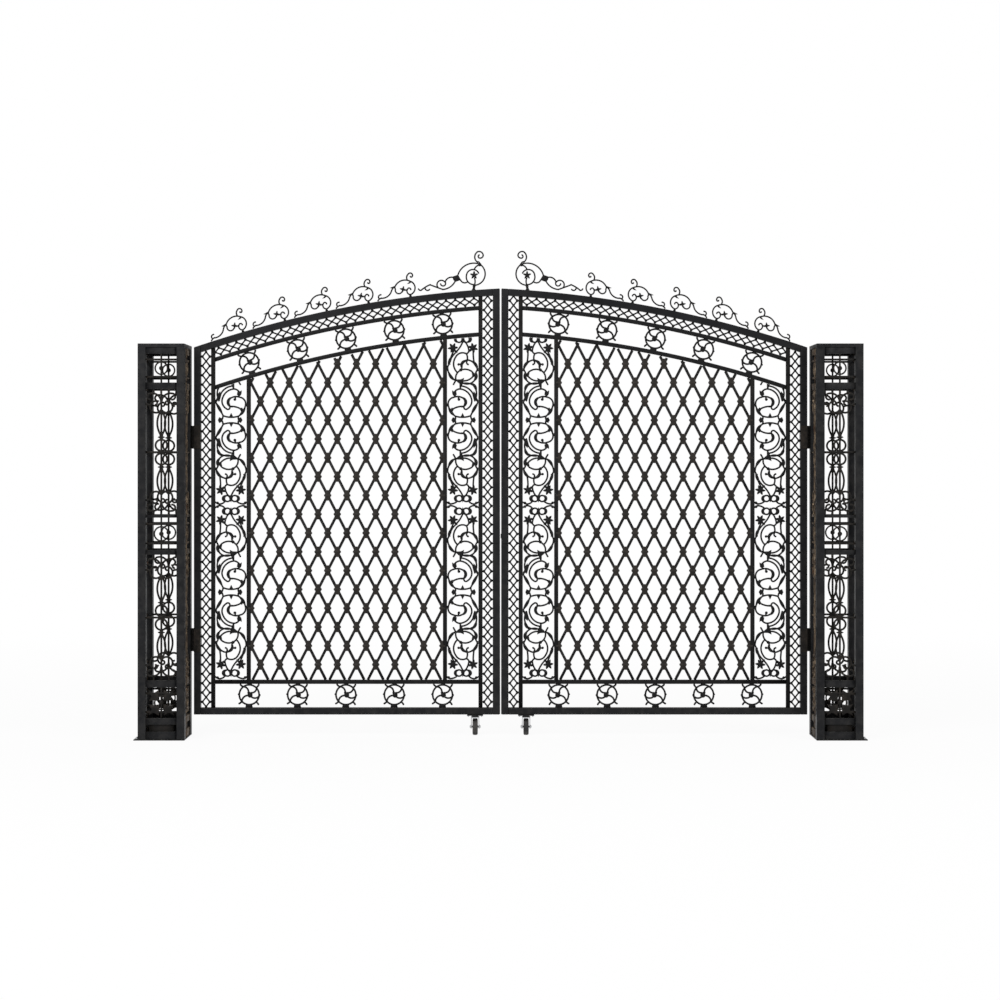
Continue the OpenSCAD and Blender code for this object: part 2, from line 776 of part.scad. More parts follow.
// Bracket on the post with two lugs and the pin
module hinge_bracket() {
    reach = post_gap + pin_in;
    translate([-post_gap, pin_y - barrel_r, -hinge_h / 2]) cube([bracket_t, 2 * barrel_r, hinge_h]);
    for (z = [-hinge_h / 2, hinge_h / 2 - lug_h]) {
        translate([-post_gap, pin_y - barrel_r, z]) cube([reach, 2 * barrel_r, lug_h]);
        translate([pin_in, pin_y, z]) cylinder(h = lug_h, r = barrel_r);
    }
    translate([pin_in, pin_y, -hinge_h / 2]) cylinder(h = hinge_h, r = pin_r);
}

module hinge_brackets() {
    color(iron) for (z = hinge_zs) translate([0, 0, z]) hinge_bracket();
}

// Barrel on the pin with its strap behind the stile, and the plate in front of it
module hinge_barrel() {
    strap_h = barrel_h - 10;
    translate([0, -frame_depth / 2 - hinge_plate_t, -hinge_h / 2]) cube([frame_w, hinge_plate_t, hinge_h]);
    difference() {
        union() {
            translate([pin_in, pin_y, -barrel_h / 2]) cylinder(h = barrel_h, r = barrel_r);
            translate([pin_in - barrel_r / 2, frame_depth / 2, -strap_h / 2])
                cube([frame_w - pin_in + barrel_r / 2, strap_t, strap_h]);
        }
        translate([pin_in, pin_y, -barrel_h / 2 - 1]) cylinder(h = barrel_h + 2, r = pin_r + running);
    }
}

module hinge_barrels() {
    color(iron) for (z = hinge_zs) translate([0, 0, z]) hinge_barrel();
}

// Lock plates, in the left leaf's own frame

module lock_plate() {
    translate([leaf_w - frame_w, -frame_depth / 2 - lock_t, lock_z - lock_h / 2]) cube([frame_w, lock_t, lock_h]);
}

module lock_keep() {
    color(iron) lock_plate();
}

module lock_with_tongue() {
    color(iron) {
        lock_plate();
        translate([leaf_w - 1, -frame_depth / 2 - 0.8 * lock_t, lock_z - lock_h / 6])
            cube([tongue + 1, 0.6 * lock_t, lock_h / 3]);
    }
}

// Casters, in the left leaf's own frame

module caster_plate() {
    color(iron) translate([caster_u, 0, 0]) {
        translate([-caster_plate_w / 2, -frame_depth / 2 - 10, caster_top])
            cube([caster_plate_w, frame_depth + 20, caster_plate_t]);
        translate([0, 0, caster_top - race_h]) cylinder(h = race_h, r = 2.5 * swivel_r);
        translate([0, 0, fork_top - fork_plate_t - 2]) cylinder(h = fork_plate_t + 3 + seat, r = swivel_r);
    }
}

// Side of the fork, from its top plate to the axle
module fork_side() {
    rise = fork_top - fork_plate_t / 2 - wheel_r;
    hull() {
        translate([caster_trail, 0]) circle(2 * axle_r);
        translate([0, rise]) square([0.73 * fork_len, fork_plate_t], center = true);
    }
}

module caster_fork() {
    color(zinc) translate([caster_u, 0, 0]) {
        difference() {
            translate([-fork_in - fork_t, -fork_len / 2, fork_top - fork_plate_t])
                cube([2 * (fork_in + fork_t), fork_len, fork_plate_t]);
            translate([0, 0, fork_top - fork_plate_t - 1]) cylinder(h = fork_plate_t + 2, r = swivel_r + running);
        }
        for (x = [-fork_in - fork_t, fork_in]) translate([x, 0, wheel_r]) rotate([90, 0, 90])
            linear_extrude(fork_t) fork_side();
        translate([-fork_in - fork_t, caster_trail, wheel_r]) rotate([0, 90, 0])
            cylinder(h = 2 * (fork_in + fork_t), r = axle_r);
    }
}

module caster_wheel() {
    color(tread) translate([caster_u - wheel_w / 2, caster_trail, wheel_r]) rotate([0, 90, 0]) difference() {
        cylinder(h = wheel_w, r = wheel_r);
        translate([0, 0, -1]) cylinder(h = wheel_w + 2, r = axle_r + running);
    }
}

post_base();  // left_post_base
post_legs();  // left_post_legs
post_front_back();  // left_post_front_back
post_sides();  // left_post_sides
post_cap();  // left_post_cap
on_left_leaf() hinge_brackets();  // left_hinge_brackets

at_right_post() post_base();  // right_post_base
at_right_post() post_legs();  // right_post_legs
at_right_post() post_front_back();  // right_post_front_back
at_right_post() post_sides();  // right_post_sides
at_right_post() post_cap();  // right_post_cap
on_right_leaf() hinge_brackets();  // right_hinge_brackets

on_left_leaf() hinge_stile();  // left_hinge_stile
on_left_leaf() meeting_stile();  // left_meeting_stile
on_left_leaf() bottom_rail();  // left_bottom_rail
on_left_leaf() top_rail();  // left_top_rail
on_left_leaf() uprights();  // left_uprights
on_left_leaf() cross_bars();  // left_cross_bars
on_left_leaf() ring_borders();  // left_ring_borders
on_left_leaf() rosettes();  // left_rosettes
on_left_leaf() lattice();  // left_lattice
on_left_leaf() hinge_scrolls();  // left_hinge_scrolls
on_left_leaf() meeting_scrolls();  // left_meeting_scrolls
on_left_leaf() crest();  // left_crest
on_left_leaf() finial();  // left_finial
on_left_leaf() hinge_barrels();  // left_hinge_barrels
on_left_leaf() lock_keep();  // left_lock
on_left_leaf() caster_plate();  // left_caster_plate
on_left_leaf() caster_fork();  // left_caster_fork
on_left_leaf() caster_wheel();  // left_caster_wheel

on_right_leaf() hinge_stile();  // right_hinge_stile
on_right_leaf() meeting_stile();  // right_meeting_stile
on_right_leaf() bottom_rail();  // right_bottom_rail
on_right_leaf() top_rail();  // right_top_rail
on_right_leaf() uprights();  // right_uprights
on_right_leaf() cross_bars();  // right_cross_bars
on_right_leaf() ring_borders();  // right_ring_borders
on_right_leaf() rosettes();  // right_rosettes
on_right_leaf() lattice();  // right_lattice
on_right_leaf() hinge_scrolls();  // right_hinge_scrolls
on_right_leaf() meeting_scrolls();  // right_meeting_scrolls
on_right_leaf() crest();  // right_crest
on_right_leaf() finial();  // right_finial
on_right_leaf() hinge_barrels();  // right_hinge_barrels
on_right_leaf() lock_with_tongue();  // right_lock
on_right_leaf() caster_plate();  // right_caster_plate
on_right_leaf() caster_fork();  // right_caster_fork
on_right_leaf() caster_wheel();  // right_caster_wheel
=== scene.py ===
# %% [markdown]
# # A wrought iron driveway gate
#
# Two arched leaves hang between openwork posts and roll on casters. Tubes, hinges and plates come from the
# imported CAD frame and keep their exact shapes. Inner bars and castings are plain solids there, so they are
# drawn again here, with round backs, buds and petals, and each rides on the body it belongs to.

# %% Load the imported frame
from math import asin, atan2, ceil, copysign, cos, degrees, hypot, pi, radians, sin, sqrt, tau

import bmesh
import bpy
from mathutils import Matrix, Vector


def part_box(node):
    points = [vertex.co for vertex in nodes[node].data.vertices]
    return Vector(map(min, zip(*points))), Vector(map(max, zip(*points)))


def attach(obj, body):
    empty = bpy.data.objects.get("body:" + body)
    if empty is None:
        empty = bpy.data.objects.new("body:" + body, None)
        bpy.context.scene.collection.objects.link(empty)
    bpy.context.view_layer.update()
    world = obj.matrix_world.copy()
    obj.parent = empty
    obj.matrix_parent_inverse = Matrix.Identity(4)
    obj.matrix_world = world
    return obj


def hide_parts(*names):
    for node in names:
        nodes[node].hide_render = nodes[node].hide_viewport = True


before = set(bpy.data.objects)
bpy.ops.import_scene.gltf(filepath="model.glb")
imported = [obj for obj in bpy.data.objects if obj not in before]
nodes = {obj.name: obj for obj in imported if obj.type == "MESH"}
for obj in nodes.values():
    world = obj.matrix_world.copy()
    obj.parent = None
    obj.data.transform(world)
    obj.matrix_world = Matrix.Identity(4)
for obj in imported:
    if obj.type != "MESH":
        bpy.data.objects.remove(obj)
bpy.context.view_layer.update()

# %% [markdown]
# ## Sizes of the gate
#
# Lengths are in millimetres and turn into metres when a mesh is made. A leaf is drawn in its own plane: u
# runs from the hinge edge to the meeting edge, z is the height above the ground and y the depth. The arch is
# part of one large circle whose centre lies past the gate's middle, which is why each leaf's rail still rises
# at its end.

# %% Sizes
MM = 0.001
POST_W = 276
POST_H = 2338
LEAF_X = 162
LEAF_SET = 80
LEAF_W = 1830
HALF_GAP = 7
RIGHT_POST_X = 3998
FRAME_W = 40
BAR_W = 20
RING_BAND = 66
ARCH_BORDER = 61
ROSETTE_BAND = 142
ARCH_ROSETTE_BAND = 138
SCROLL_W = 193
SCROLL_U = FRAME_W + RING_BAND + BAR_W
PANEL_U = SCROLL_U + SCROLL_W
LATTICE_U = PANEL_U + BAR_W
RAIL_Z = 168
LOWER_BAR_Z = RAIL_Z + ROSETTE_BAND
PANEL_Z = LOWER_BAR_Z + BAR_W
BORDER_DROP = FRAME_W
ROSETTE_DROP = BORDER_DROP + ARCH_BORDER + BAR_W
PANEL_DROP = ROSETTE_DROP + ARCH_ROSETTE_BAND + BAR_W
ARCH_TOP = 2690
ARCH_R = 6800
ARCH_PAST_MIDDLE = 353
ARCH_U = LEAF_W + HALF_GAP + ARCH_PAST_MIDDLE
ARCH_Z = ARCH_TOP - ARCH_R
SEAT = 0.3
CAST_DEPTH = 12
BAR_FACE = 25
BAR_DEPTH = 20
UPRIGHT_U = SCROLL_U - BAR_FACE


def arch_at(u, drop):
    """Height of the arch over a place u, with a drop below its top edge."""
    return ARCH_Z + sqrt((ARCH_R - drop) ** 2 - (ARCH_U - u) ** 2)


print("top rail rises from", round(arch_at(0, 0)), "to", round(arch_at(LEAF_W, 0)), "mm")

# %% [markdown]
# ## Shared surface effects
#
# The gate has one coat of black paint over wrought tube and rough castings, so the same few things show
# everywhere: a grain in the paint, bare edges, rust that blooms through, and dust that settles on top. Each
# is a node group that puts out a mask or a height, and each material uses it with its own values.

# %% Node helpers


def add(tree, kind):
    """A new shader node."""
    return tree.nodes.new("ShaderNode" + kind)


def start_group(name, inputs, outputs):
    """A shader node group with float inputs that have defaults, and outputs of the given socket types."""
    group = bpy.data.node_groups.new(name, "ShaderNodeTree")
    for label, default in inputs:
        socket = group.interface.new_socket(name=label, in_out="INPUT", socket_type="NodeSocketFloat")
        socket.default_value = default
    for label, kind in outputs:
        group.interface.new_socket(name=label, in_out="OUTPUT", socket_type=kind)
    place = add(group, "TexCoord").outputs["Object"]
    return group, group.nodes.new("NodeGroupInput").outputs, group.nodes.new("NodeGroupOutput").inputs, place


def feed(tree, socket, value):
    """Gives a socket a number, a colour or what comes out of another socket."""
    if isinstance(value, (int, float)):
        socket.default_value = value
    elif isinstance(value, tuple):
        socket.default_value = (*value, 1)
    else:
        tree.links.new(value, socket)


def add_noise(tree, place, scale, detail=4.0, rough=0.6):
    noise = add(tree, "TexNoise")
    for label, value in (("Vector", place), ("Scale", scale), ("Detail", detail), ("Roughness", rough)):
        feed(tree, noise.inputs[label], value)
    return noise.outputs["Fac"]


def add_math(tree, operation, a, b):
    node = add(tree, "Math")
    node.operation = operation
    feed(tree, node.inputs[0], a)
    feed(tree, node.inputs[1], b)
    return node.outputs[0]


def add_range(tree, value, low, high):
    """The share of the way from low to high, kept between 0 and 1."""
    node = add(tree, "MapRange")
    for label, source in (("Value", value), ("From Min", low), ("From Max", high)):
        feed(tree, node.inputs[label], source)
    return node.outputs["Result"]


# %% [markdown]
# ### Grain
#
# Brushed paint on iron has a slow ripple from the brush and the hammer, and a fine roughness from the metal.
# Two noises at different scales, added as heights, show both at their own size.

# %% Grain group
tree, given, result, place = start_group(
    "paint grain", [("Ripple Scale", 60.0), ("Grain Scale", 420.0), ("Grain", 0.5)],
    [("Height", "NodeSocketFloat"), ("Tone", "NodeSocketFloat")])
ripple = add_noise(tree, place, given["Ripple Scale"], 2.0, 0.5)
fine = add_noise(tree, place, given["Grain Scale"], 5.0, 0.7)
fine = add_math(tree, "MULTIPLY", fine, given["Grain"])
tone = add_noise(tree, place, 7.0)
feed(tree, result["Height"], add_math(tree, "ADD", ripple, fine))
feed(tree, result["Tone"], add_range(tree, tone, 0.3, 0.7))
print("grain group ready")

# %% [markdown]
# ### Worn edges
#
# Hands, hoses and weather thin the paint on edges first. Pointiness is high where a mesh bends outward, and a
# noise breaks the line up so that the wear comes and goes along an edge.

# %% Edge wear group
tree, given, result, place = start_group(
    "edge wear", [("Start", 0.52), ("End", 0.62), ("Patch Scale", 25.0)], [("Mask", "NodeSocketFloat")])
bend = add(tree, "NewGeometry").outputs["Pointiness"]
edge = add_range(tree, bend, given["Start"], given["End"])
patches = add_range(tree, add_noise(tree, place, given["Patch Scale"]), 0.42, 0.62)
feed(tree, result["Mask"], add_math(tree, "MULTIPLY", edge, patches))
print("edge wear group ready")

# %% [markdown]
# ### Rust
#
# Rust comes through in patches of all sizes. A coarse noise decides where there is rust, a finer one frays
# its border, and the colour shifts from dark brown to orange inside a patch.

# %% Rust group
tree, given, result, place = start_group(
    "rust bloom", [("Patch Scale", 9.0), ("Cover", 0.2)],
    [("Mask", "NodeSocketFloat"), ("Color", "NodeSocketColor")])
coarse = add_noise(tree, place, given["Patch Scale"], 6.0, 0.65)
fray = add_noise(tree, place, 180.0, 4.0, 0.7)
field = add_math(tree, "ADD", coarse, add_math(tree, "MULTIPLY", fray, 0.25))
start = add_math(tree, "SUBTRACT", 0.95, add_math(tree, "MULTIPLY", given["Cover"], 0.5))
end = add_math(tree, "ADD", start, 0.12)
feed(tree, result["Mask"], add_range(tree, field, start, end))
ramp = add(tree, "ValToRGB")
dark_rust, bright_rust = ramp.color_ramp.elements
dark_rust.position = 0.3
dark_rust.color = (0.028, 0.014, 0.009, 1)
bright_rust.position = 0.75
bright_rust.color = (0.11, 0.045, 0.018, 1)
feed(tree, ramp.inputs["Fac"], fray)
feed(tree, result["Color"], ramp.outputs["Color"])
print("rust group ready")

# %% [markdown]
# ### Dust
#
# Dust lies where a surface faces the sky. The height of the normal gives that, and a noise keeps it uneven.

# %% Dust group
tree, given, result, place = start_group(
    "settled dust", [("Amount", 0.4), ("Patch Scale", 14.0)], [("Mask", "NodeSocketFloat")])
split = add(tree, "SeparateXYZ")
feed(tree, split.inputs[0], add(tree, "NewGeometry").outputs["Normal"])
upward = add_range(tree, split.outputs["Z"], 0.35, 0.95)
uneven = add_range(tree, add_noise(tree, place, given["Patch Scale"], 5.0, 0.7), 0.3, 0.75)
settled = add_math(tree, "MULTIPLY", upward, uneven)
feed(tree, result["Mask"], add_math(tree, "MULTIPLY", settled, given["Amount"]))
print("dust group ready")

# %% [markdown]
# ## Finishes
#
# One function lays the effects over each other in the order in which they happen: paint with its uneven tone,
# thin edges, rust, then dust. The values tell the finishes apart: smooth tube, rough castings, the collars of
# the lattice, whose lighter paint is partly a painted highlight, and the brown castings inside the posts,
# whose side faces are lighter with painted light as well as rust.

# %% Layered paint
MIX_SOCKETS = {"RGBA": (6, 7, 2), "FLOAT": (2, 3, 0)}


def start_material(name):
    material = bpy.data.materials.new(name)
    material.use_nodes = True
    return material, material.node_tree, material.node_tree.nodes["Principled BSDF"]


def place_group(tree, name, **values):
    """A group node in a material, with input values by name (underscores stand for spaces)."""
    node = add(tree, "Group")
    node.node_tree = bpy.data.node_groups[name]
    for label, value in values.items():
        node.inputs[label.replace("_", " ")].default_value = value
    return node.outputs


def layered(tree, kind, first, *layers):
    """A colour or a number with others laid over it, each by its mask."""
    one, two, mixed = MIX_SOCKETS[kind]
    for mask, over in layers:
        node = add(tree, "Mix")
        node.data_type = kind
        feed(tree, node.inputs["Factor"], mask)
        feed(tree, node.inputs[one], first)
        feed(tree, node.inputs[two], over)
        first = node.outputs[mixed]
    return first


def finish_shader(tree, shader, color, rough, height, strength, distance):
    """Links a colour, a roughness and a height, as relief, to a shader."""
    relief = add(tree, "Bump")
    feed(tree, relief.inputs["Strength"], strength)
    feed(tree, relief.inputs["Distance"], distance)
    feed(tree, relief.inputs["Height"], height)
    feed(tree, shader.inputs["Base Color"], color)
    feed(tree, shader.inputs["Roughness"], rough)
    feed(tree, shader.inputs["Normal"], relief.outputs["Normal"])


def painted_iron(name, dark, light, bare, gloss, rust_cover, dust, ripple=160.0, grain=700.0, bump=0.6):
    """Black paint over iron; dark and light are the ends of its tone, bare the colour of a worn edge."""
    material, tree, shader = start_material(name)
    shader.inputs["Specular IOR Level"].default_value = 0.16
    texture = place_group(tree, "paint grain", Ripple_Scale=ripple, Grain_Scale=grain)
    wear = place_group(tree, "edge wear")
    rust = place_group(tree, "rust bloom", Cover=rust_cover)
    top = place_group(tree, "settled dust", Amount=dust)
    color = layered(tree, "RGBA", dark, (texture["Tone"], light), (wear["Mask"], bare),
                    (rust["Mask"], rust["Color"]), (top["Mask"], (0.16, 0.15, 0.135)))
    rough = layered(tree, "FLOAT", gloss, (texture["Tone"], gloss + 0.12), (rust["Mask"], 0.85),
                    (top["Mask"], 0.95))
    finish_shader(tree, shader, color, rough, texture["Height"], bump, 0.0006)
    return material


# %% Paints
tube_paint = painted_iron("tube paint", (0.005, 0.0052, 0.006), (0.010, 0.0104, 0.012), (0.04, 0.038, 0.036),
                          gloss=0.36, rust_cover=0.04, dust=0.35, ripple=40.0, grain=500.0, bump=0.25)
cast_paint = painted_iron("cast paint", (0.003, 0.003, 0.0034), (0.006, 0.006, 0.0066), (0.012, 0.011, 0.0105),
                          gloss=0.46, rust_cover=0.06, dust=0.2)
# Collar paint: lighter than the cast paint as a painted highlight for the light the collars catch, with more
# rust.
collar_paint_with_painted_highlight = painted_iron("collar paint with painted highlight", (0.010, 0.0088, 0.0076), (0.026, 0.022, 0.0185),
                            (0.045, 0.039, 0.034), gloss=0.5, rust_cover=0.25, dust=0.3, ripple=200.0)
post_paint = painted_iron("post casting paint", (0.004, 0.0038, 0.0036), (0.010, 0.0086, 0.0074),
                          (0.03, 0.024, 0.019), gloss=0.5, rust_cover=0.3, dust=0.3)
# Post side paint: lighter and browner than the front faces, painted light on the sides of the posts as well as
# heavy rust.
side_paint_with_rust_and_painted_light = painted_iron("post side paint with rust and painted light", (0.016, 0.012, 0.009), (0.07, 0.05, 0.035), (0.40, 0.30, 0.20),
                          gloss=0.55, rust_cover=0.5, dust=0.5)
hinge_paint = painted_iron("hinge paint", (0.006, 0.0052, 0.0046), (0.014, 0.0115, 0.0095),
                           (0.04, 0.031, 0.024), gloss=0.55, rust_cover=0.3, dust=0.4,
                           ripple=90.0, grain=600.0)
print("paints ready, from", tube_paint.name, "to", hinge_paint.name)

# %% [markdown]
# ### Zinc and rubber
#
# The caster forks are bright zinc plate, with the pale crystals that plating leaves, and dull spots where it
# has oxidised. The tyres are grey rubber, scuffed and dusty. Both reuse the groups for grain, wear and dust.

# %% Zinc plate
zinc, tree, shader = start_material("zinc plate")
crystals = add(tree, "TexVoronoi")
crystals.inputs["Scale"].default_value = 120.0
feed(tree, crystals.inputs["Vector"], add(tree, "TexCoord").outputs["Object"])
texture = place_group(tree, "paint grain", Ripple_Scale=90.0, Grain_Scale=900.0)
top = place_group(tree, "settled dust", Amount=0.4)
rust = place_group(tree, "rust bloom", Cover=0.15, Patch_Scale=30.0)
shade = add_range(tree, crystals.outputs["Distance"], 0.0, 0.9)
color = layered(tree, "RGBA", (0.42, 0.43, 0.44), (shade, (0.62, 0.63, 0.64)), (rust["Mask"], rust["Color"]),
                (top["Mask"], (0.2, 0.19, 0.17)))
feed(tree, shader.inputs["Metallic"], layered(tree, "FLOAT", 0.9, (rust["Mask"], 0.1)))
rough = layered(tree, "FLOAT", 0.28, (texture["Tone"], 0.42))
finish_shader(tree, shader, color, rough, texture["Height"], 0.2, 0.0004)
print("metal ready:", zinc.name)

# %% Tyre rubber
rubber, tree, shader = start_material("tyre rubber")
shader.inputs["Specular IOR Level"].default_value = 0.3
texture = place_group(tree, "paint grain", Ripple_Scale=120.0, Grain_Scale=1200.0)
top = place_group(tree, "settled dust", Amount=0.5)
wear = place_group(tree, "edge wear", Start=0.5, End=0.58)
color = layered(tree, "RGBA", (0.018, 0.018, 0.018), (texture["Tone"], (0.035, 0.034, 0.033)),
                (wear["Mask"], (0.09, 0.085, 0.08)), (top["Mask"], (0.17, 0.16, 0.145)))
rough = layered(tree, "FLOAT", 0.62, (texture["Tone"], 0.82))
finish_shader(tree, shader, color, rough, texture["Height"], 0.5, 0.0005)
print("rubber ready:", rubber.name)

# %% [markdown]
# ## Tubes and plates from the CAD frame
#
# These pieces have the right shape already. Real tube has a small radius on its edges, and without it a black
# bar shows no edge at all, so each gets a bevel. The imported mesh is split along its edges, so a weld comes
# first.

# %% Edges and paint on the CAD nodes
EDGE_RADIUS = {"stile": 3.0, "rail": 3.0, "legs": 2.5, "cap": 2.0, "base": 1.2, "brackets": 1.5,
               "barrels": 1.2, "lock": 1.5, "caster_plate": 1.0, "fork": 0.8}


def round_edges(node, radius):
    weld = node.modifiers.new("weld split edges", "WELD")
    weld.merge_threshold = 0.00001
    bevel = node.modifiers.new("edge radius", "BEVEL")
    bevel.width = radius * MM
    bevel.segments = 3
    bevel.limit_method = "ANGLE"
    bevel.angle_limit = radians(50)
    bevel.use_clamp_overlap = False


def finish_of(name):
    """The finish of a CAD node that keeps its own shape."""
    if "fork" in name:
        return zinc
    return hinge_paint if "hinge_b" in name else tube_paint


for name, node in nodes.items():
    node.data.materials.clear()
    node.data.materials.append(finish_of(name))
    for word, radius in EDGE_RADIUS.items():
        if word in name:
            round_edges(node, radius)
            break
print("rounded the edges of", sum(1 for node in nodes.values() if node.modifiers), "CAD nodes")

# %% [markdown]
# ## How a casting is drawn
#
# A scroll is a bent bar with a soft section. Its middle line is a list of arcs, each given by a start, a
# point on the way and an end, because three points are easy to read off a picture of a gate. A curve object
# with a bevel could draw them, but a swept ring of points also lets the width swell and taper, so that the
# same function makes scrolls, leaves and petals.

# %% Paths and placing


def arc(a, b, c, step=7.0):
    """Points along the circle through three points, about step apart."""
    d = 2 * (a[0] * (b[1] - c[1]) + b[0] * (c[1] - a[1]) + c[0] * (a[1] - b[1]))
    aa, bb, cc = (p[0] ** 2 + p[1] ** 2 for p in (a, b, c))
    mx = (aa * (b[1] - c[1]) + bb * (c[1] - a[1]) + cc * (a[1] - b[1])) / d
    mz = (aa * (c[0] - b[0]) + bb * (a[0] - c[0]) + cc * (b[0] - a[0])) / d
    radius = hypot(a[0] - mx, a[1] - mz)
    first = atan2(a[1] - mz, a[0] - mx)
    middle = (atan2(b[1] - mz, b[0] - mx) - first) % tau
    last = (atan2(c[1] - mz, c[0] - mx) - first) % tau
    turn = last if middle < last else last - tau
    count = max(5, ceil(abs(turn) * radius / step))
    angles = [first + turn * i / count for i in range(count + 1)]
    return [(mx + radius * cos(t), mz + radius * sin(t)) for t in angles]


def straight(a, b, count=4):
    """Points along a line."""
    return [(a[0] + (b[0] - a[0]) * i / count, a[1] + (b[1] - a[1]) * i / count) for i in range(count + 1)]


def round_points(count):
    """Points on a circle of radius 1."""
    return [(cos(tau * i / count), sin(tau * i / count)) for i in range(count)]


def circle(place, radius, count=40):
    """A closed path round a place."""
    path = [place((radius * c, radius * s)) for c, s in round_points(count)]
    return path + path[:1]


def placed(origin, lean=0.0, scale=1.0):
    """A function that puts the points of a drawing at an origin, leaning and scaled."""
    c, s = scale * cos(lean), scale * sin(lean)
    return lambda p: (origin[0] + p[0] * c - p[1] * s, origin[1] + p[0] * s + p[1] * c)


# %% [markdown]
# ### Sections and sweeps
#
# A cast bar is wider than a wire and flatter than a rod, a leaf is thin at its edges and thick along its rib,
# and a forged bar is nearly square. A few sections cover them: the higher the power, the squarer the section.

# %% Sweeps


def section(power, count):
    """Points round a section that is 2 wide and 2 deep."""
    return [tuple(copysign(abs(x) ** (2 / power), x) for x in p) for p in round_points(count)]


CAST_SECTION = section(2.4, 10)
LEAF_SECTION = section(1.3, 8)
COLLAR_SECTION = section(3.4, 12)
BAR_SECTION = section(7.0, 16)
PLATE_SECTION = section(12.0, 24)


def dots(bm, points):
    """Vertices at some points."""
    return [bm.verts.new(p) for p in points]


def skin(bm, rings):
    """Faces between rings that follow each other."""
    for one, two in zip(rings, rings[1:]):
        for k in range(len(one)):
            n = (k + 1) % len(one)
            bm.faces.new((one[k], one[n], two[n], two[k]))


def fan(bm, ring, tip):
    """Triangles from a ring to a point."""
    for k in range(len(ring)):
        bm.faces.new((ring[k], ring[(k + 1) % len(ring)], tip))


def sweep(bm, path, width, depth, shape=CAST_SECTION, swell=None, y=None, point=0.35):
    """A bar along a path; swell gives the share of its width and depth, y its middle's depth, at each step."""
    rings = []
    last = len(path) - 1
    for i, (u, z) in enumerate(path):
        before, after = path[max(i - 1, 0)], path[min(i + 1, last)]
        du, dz = after[0] - before[0], after[1] - before[1]
        length = hypot(du, dz)
        nu, nz = -dz / length, du / length
        share = swell(i / last) if swell else (1.0, 1.0)
        half_w, half_d = share[0] * width / 2, share[1] * depth / 2
        here = y(i / last) if y else 0.0
        points = [(u + nu * s * half_w, here + t * half_d, z + nz * s * half_w) for s, t in shape]
        rings.append(dots(bm, points))
    skin(bm, rings)
    for ring, (inner, outer) in ((rings[0], (path[1], path[0])), (rings[-1], (path[-2], path[-1]))):
        du, dz = outer[0] - inner[0], outer[1] - inner[1]
        reach = point * width / hypot(du, dz)
        middle = sum(v.co.y for v in ring) / len(ring)
        fan(bm, ring, bm.verts.new((outer[0] + du * reach, middle, outer[1] + dz * reach)))


# %% Swells


def belly(t):
    """Swell of a scroll's back: thick in its middle, thin at both ends."""
    return 0.3 + 0.7 * sin(pi * t), 0.5 + 0.5 * sin(pi * t)


def almond(t):
    """Swell of a leaf: pointed at its tip, narrow at its base."""
    width = 0.12 + 0.88 * sin(pi * t ** 0.8) ** 0.9 if t < 1 else 0.04
    return width, 0.35 + 0.65 * sin(pi * t)


def steps(shares, depths):
    """Swell that takes its share of the width from a list, with the depth as a share or from the list too."""
    def swell(t):
        width = shares[round(t * (len(shares) - 1))]
        return width, width if depths else 1.0
    return swell


# %% [markdown]
# ### Buds, flowers and leaves
#
# Where two scrolls meet, the pattern maker put a bud, and where a stem ends, a flower. A bud is a flattened
# ball, a flower is a ring of leaves round a bud, and a broad leaf is a patch that rises to its middle.

# %% Buds, flowers and leaves
BUD_ROWS = 7
BUD_ROUND = round_points(12)


def bud(bm, centre, radius, depth=CAST_DEPTH):
    """A flattened ball: rings of points between a front and a back pole."""
    poles = dots(bm, [(centre[0], side * depth / 2, centre[1]) for side in (-1, 1)])
    rings = []
    for i in range(1, BUD_ROWS):
        t = pi * i / BUD_ROWS
        share, y = sin(t) * radius, -cos(t) * depth / 2
        rings.append(dots(bm, [(centre[0] + share * c, y, centre[1] + share * s) for c, s in BUD_ROUND]))
    skin(bm, rings)
    fan(bm, rings[0], poles[0])
    fan(bm, rings[-1], poles[1])


def flower(bm, centre, radius, petals, turn):
    """Pointed petals round a bud, each with a rib."""
    for i in range(petals):
        t = radians(turn + 360 * i / petals)
        tip = (centre[0] + radius * cos(t), centre[1] + radius * sin(t))
        root = (centre[0] + 0.1 * radius * cos(t), centre[1] + 0.1 * radius * sin(t))
        sweep(bm, straight(root, tip, 7), 0.5 * radius, 0.9 * CAST_DEPTH, LEAF_SECTION, almond, point=0.02)
    bud(bm, centre, 0.48 * radius, 1.25 * CAST_DEPTH)


def broad_leaf(bm, outline, depth=CAST_DEPTH):
    """A patch with thin edges that rises to its middle on both faces."""
    mu, mz = (sum(p[k] for p in outline) / len(outline) for k in (0, 1))
    edges = []
    for side in (1, -1):
        rings = []
        for share, half in ((1.0, 0.22 * depth), (0.6, 0.42 * depth)):
            points = [(mu + (u - mu) * share, side * half, mz + (z - mz) * share) for u, z in outline]
            rings.append(dots(bm, points))
        skin(bm, rings)
        fan(bm, rings[1], bm.verts.new((mu, side * depth / 2, mz)))
        edges.append(rings[0])
    skin(bm, edges)


def ornament(bm, place, arcs, wire, buds=(), leaves=(), depth=CAST_DEPTH):
    """Bars along three-point arcs, with buds and leaves, each point put in place by a function."""
    for a, b, c in arcs:
        sweep(bm, arc(place(a), place(b), place(c)), wire, depth)
    for centre, radius in buds:
        bud(bm, place(centre), radius)
    for outline in leaves:
        broad_leaf(bm, [place(p) for p in outline])


# %% [markdown]
# ### From drawing to piece
#
# The right-hand leaf is the mirror image of the left-hand one, so each casting is drawn once. A mirrored mesh
# is inside out until its faces are flipped. Every piece names the body that it rides on, the CAD nodes that
# it stands for, and its finish.

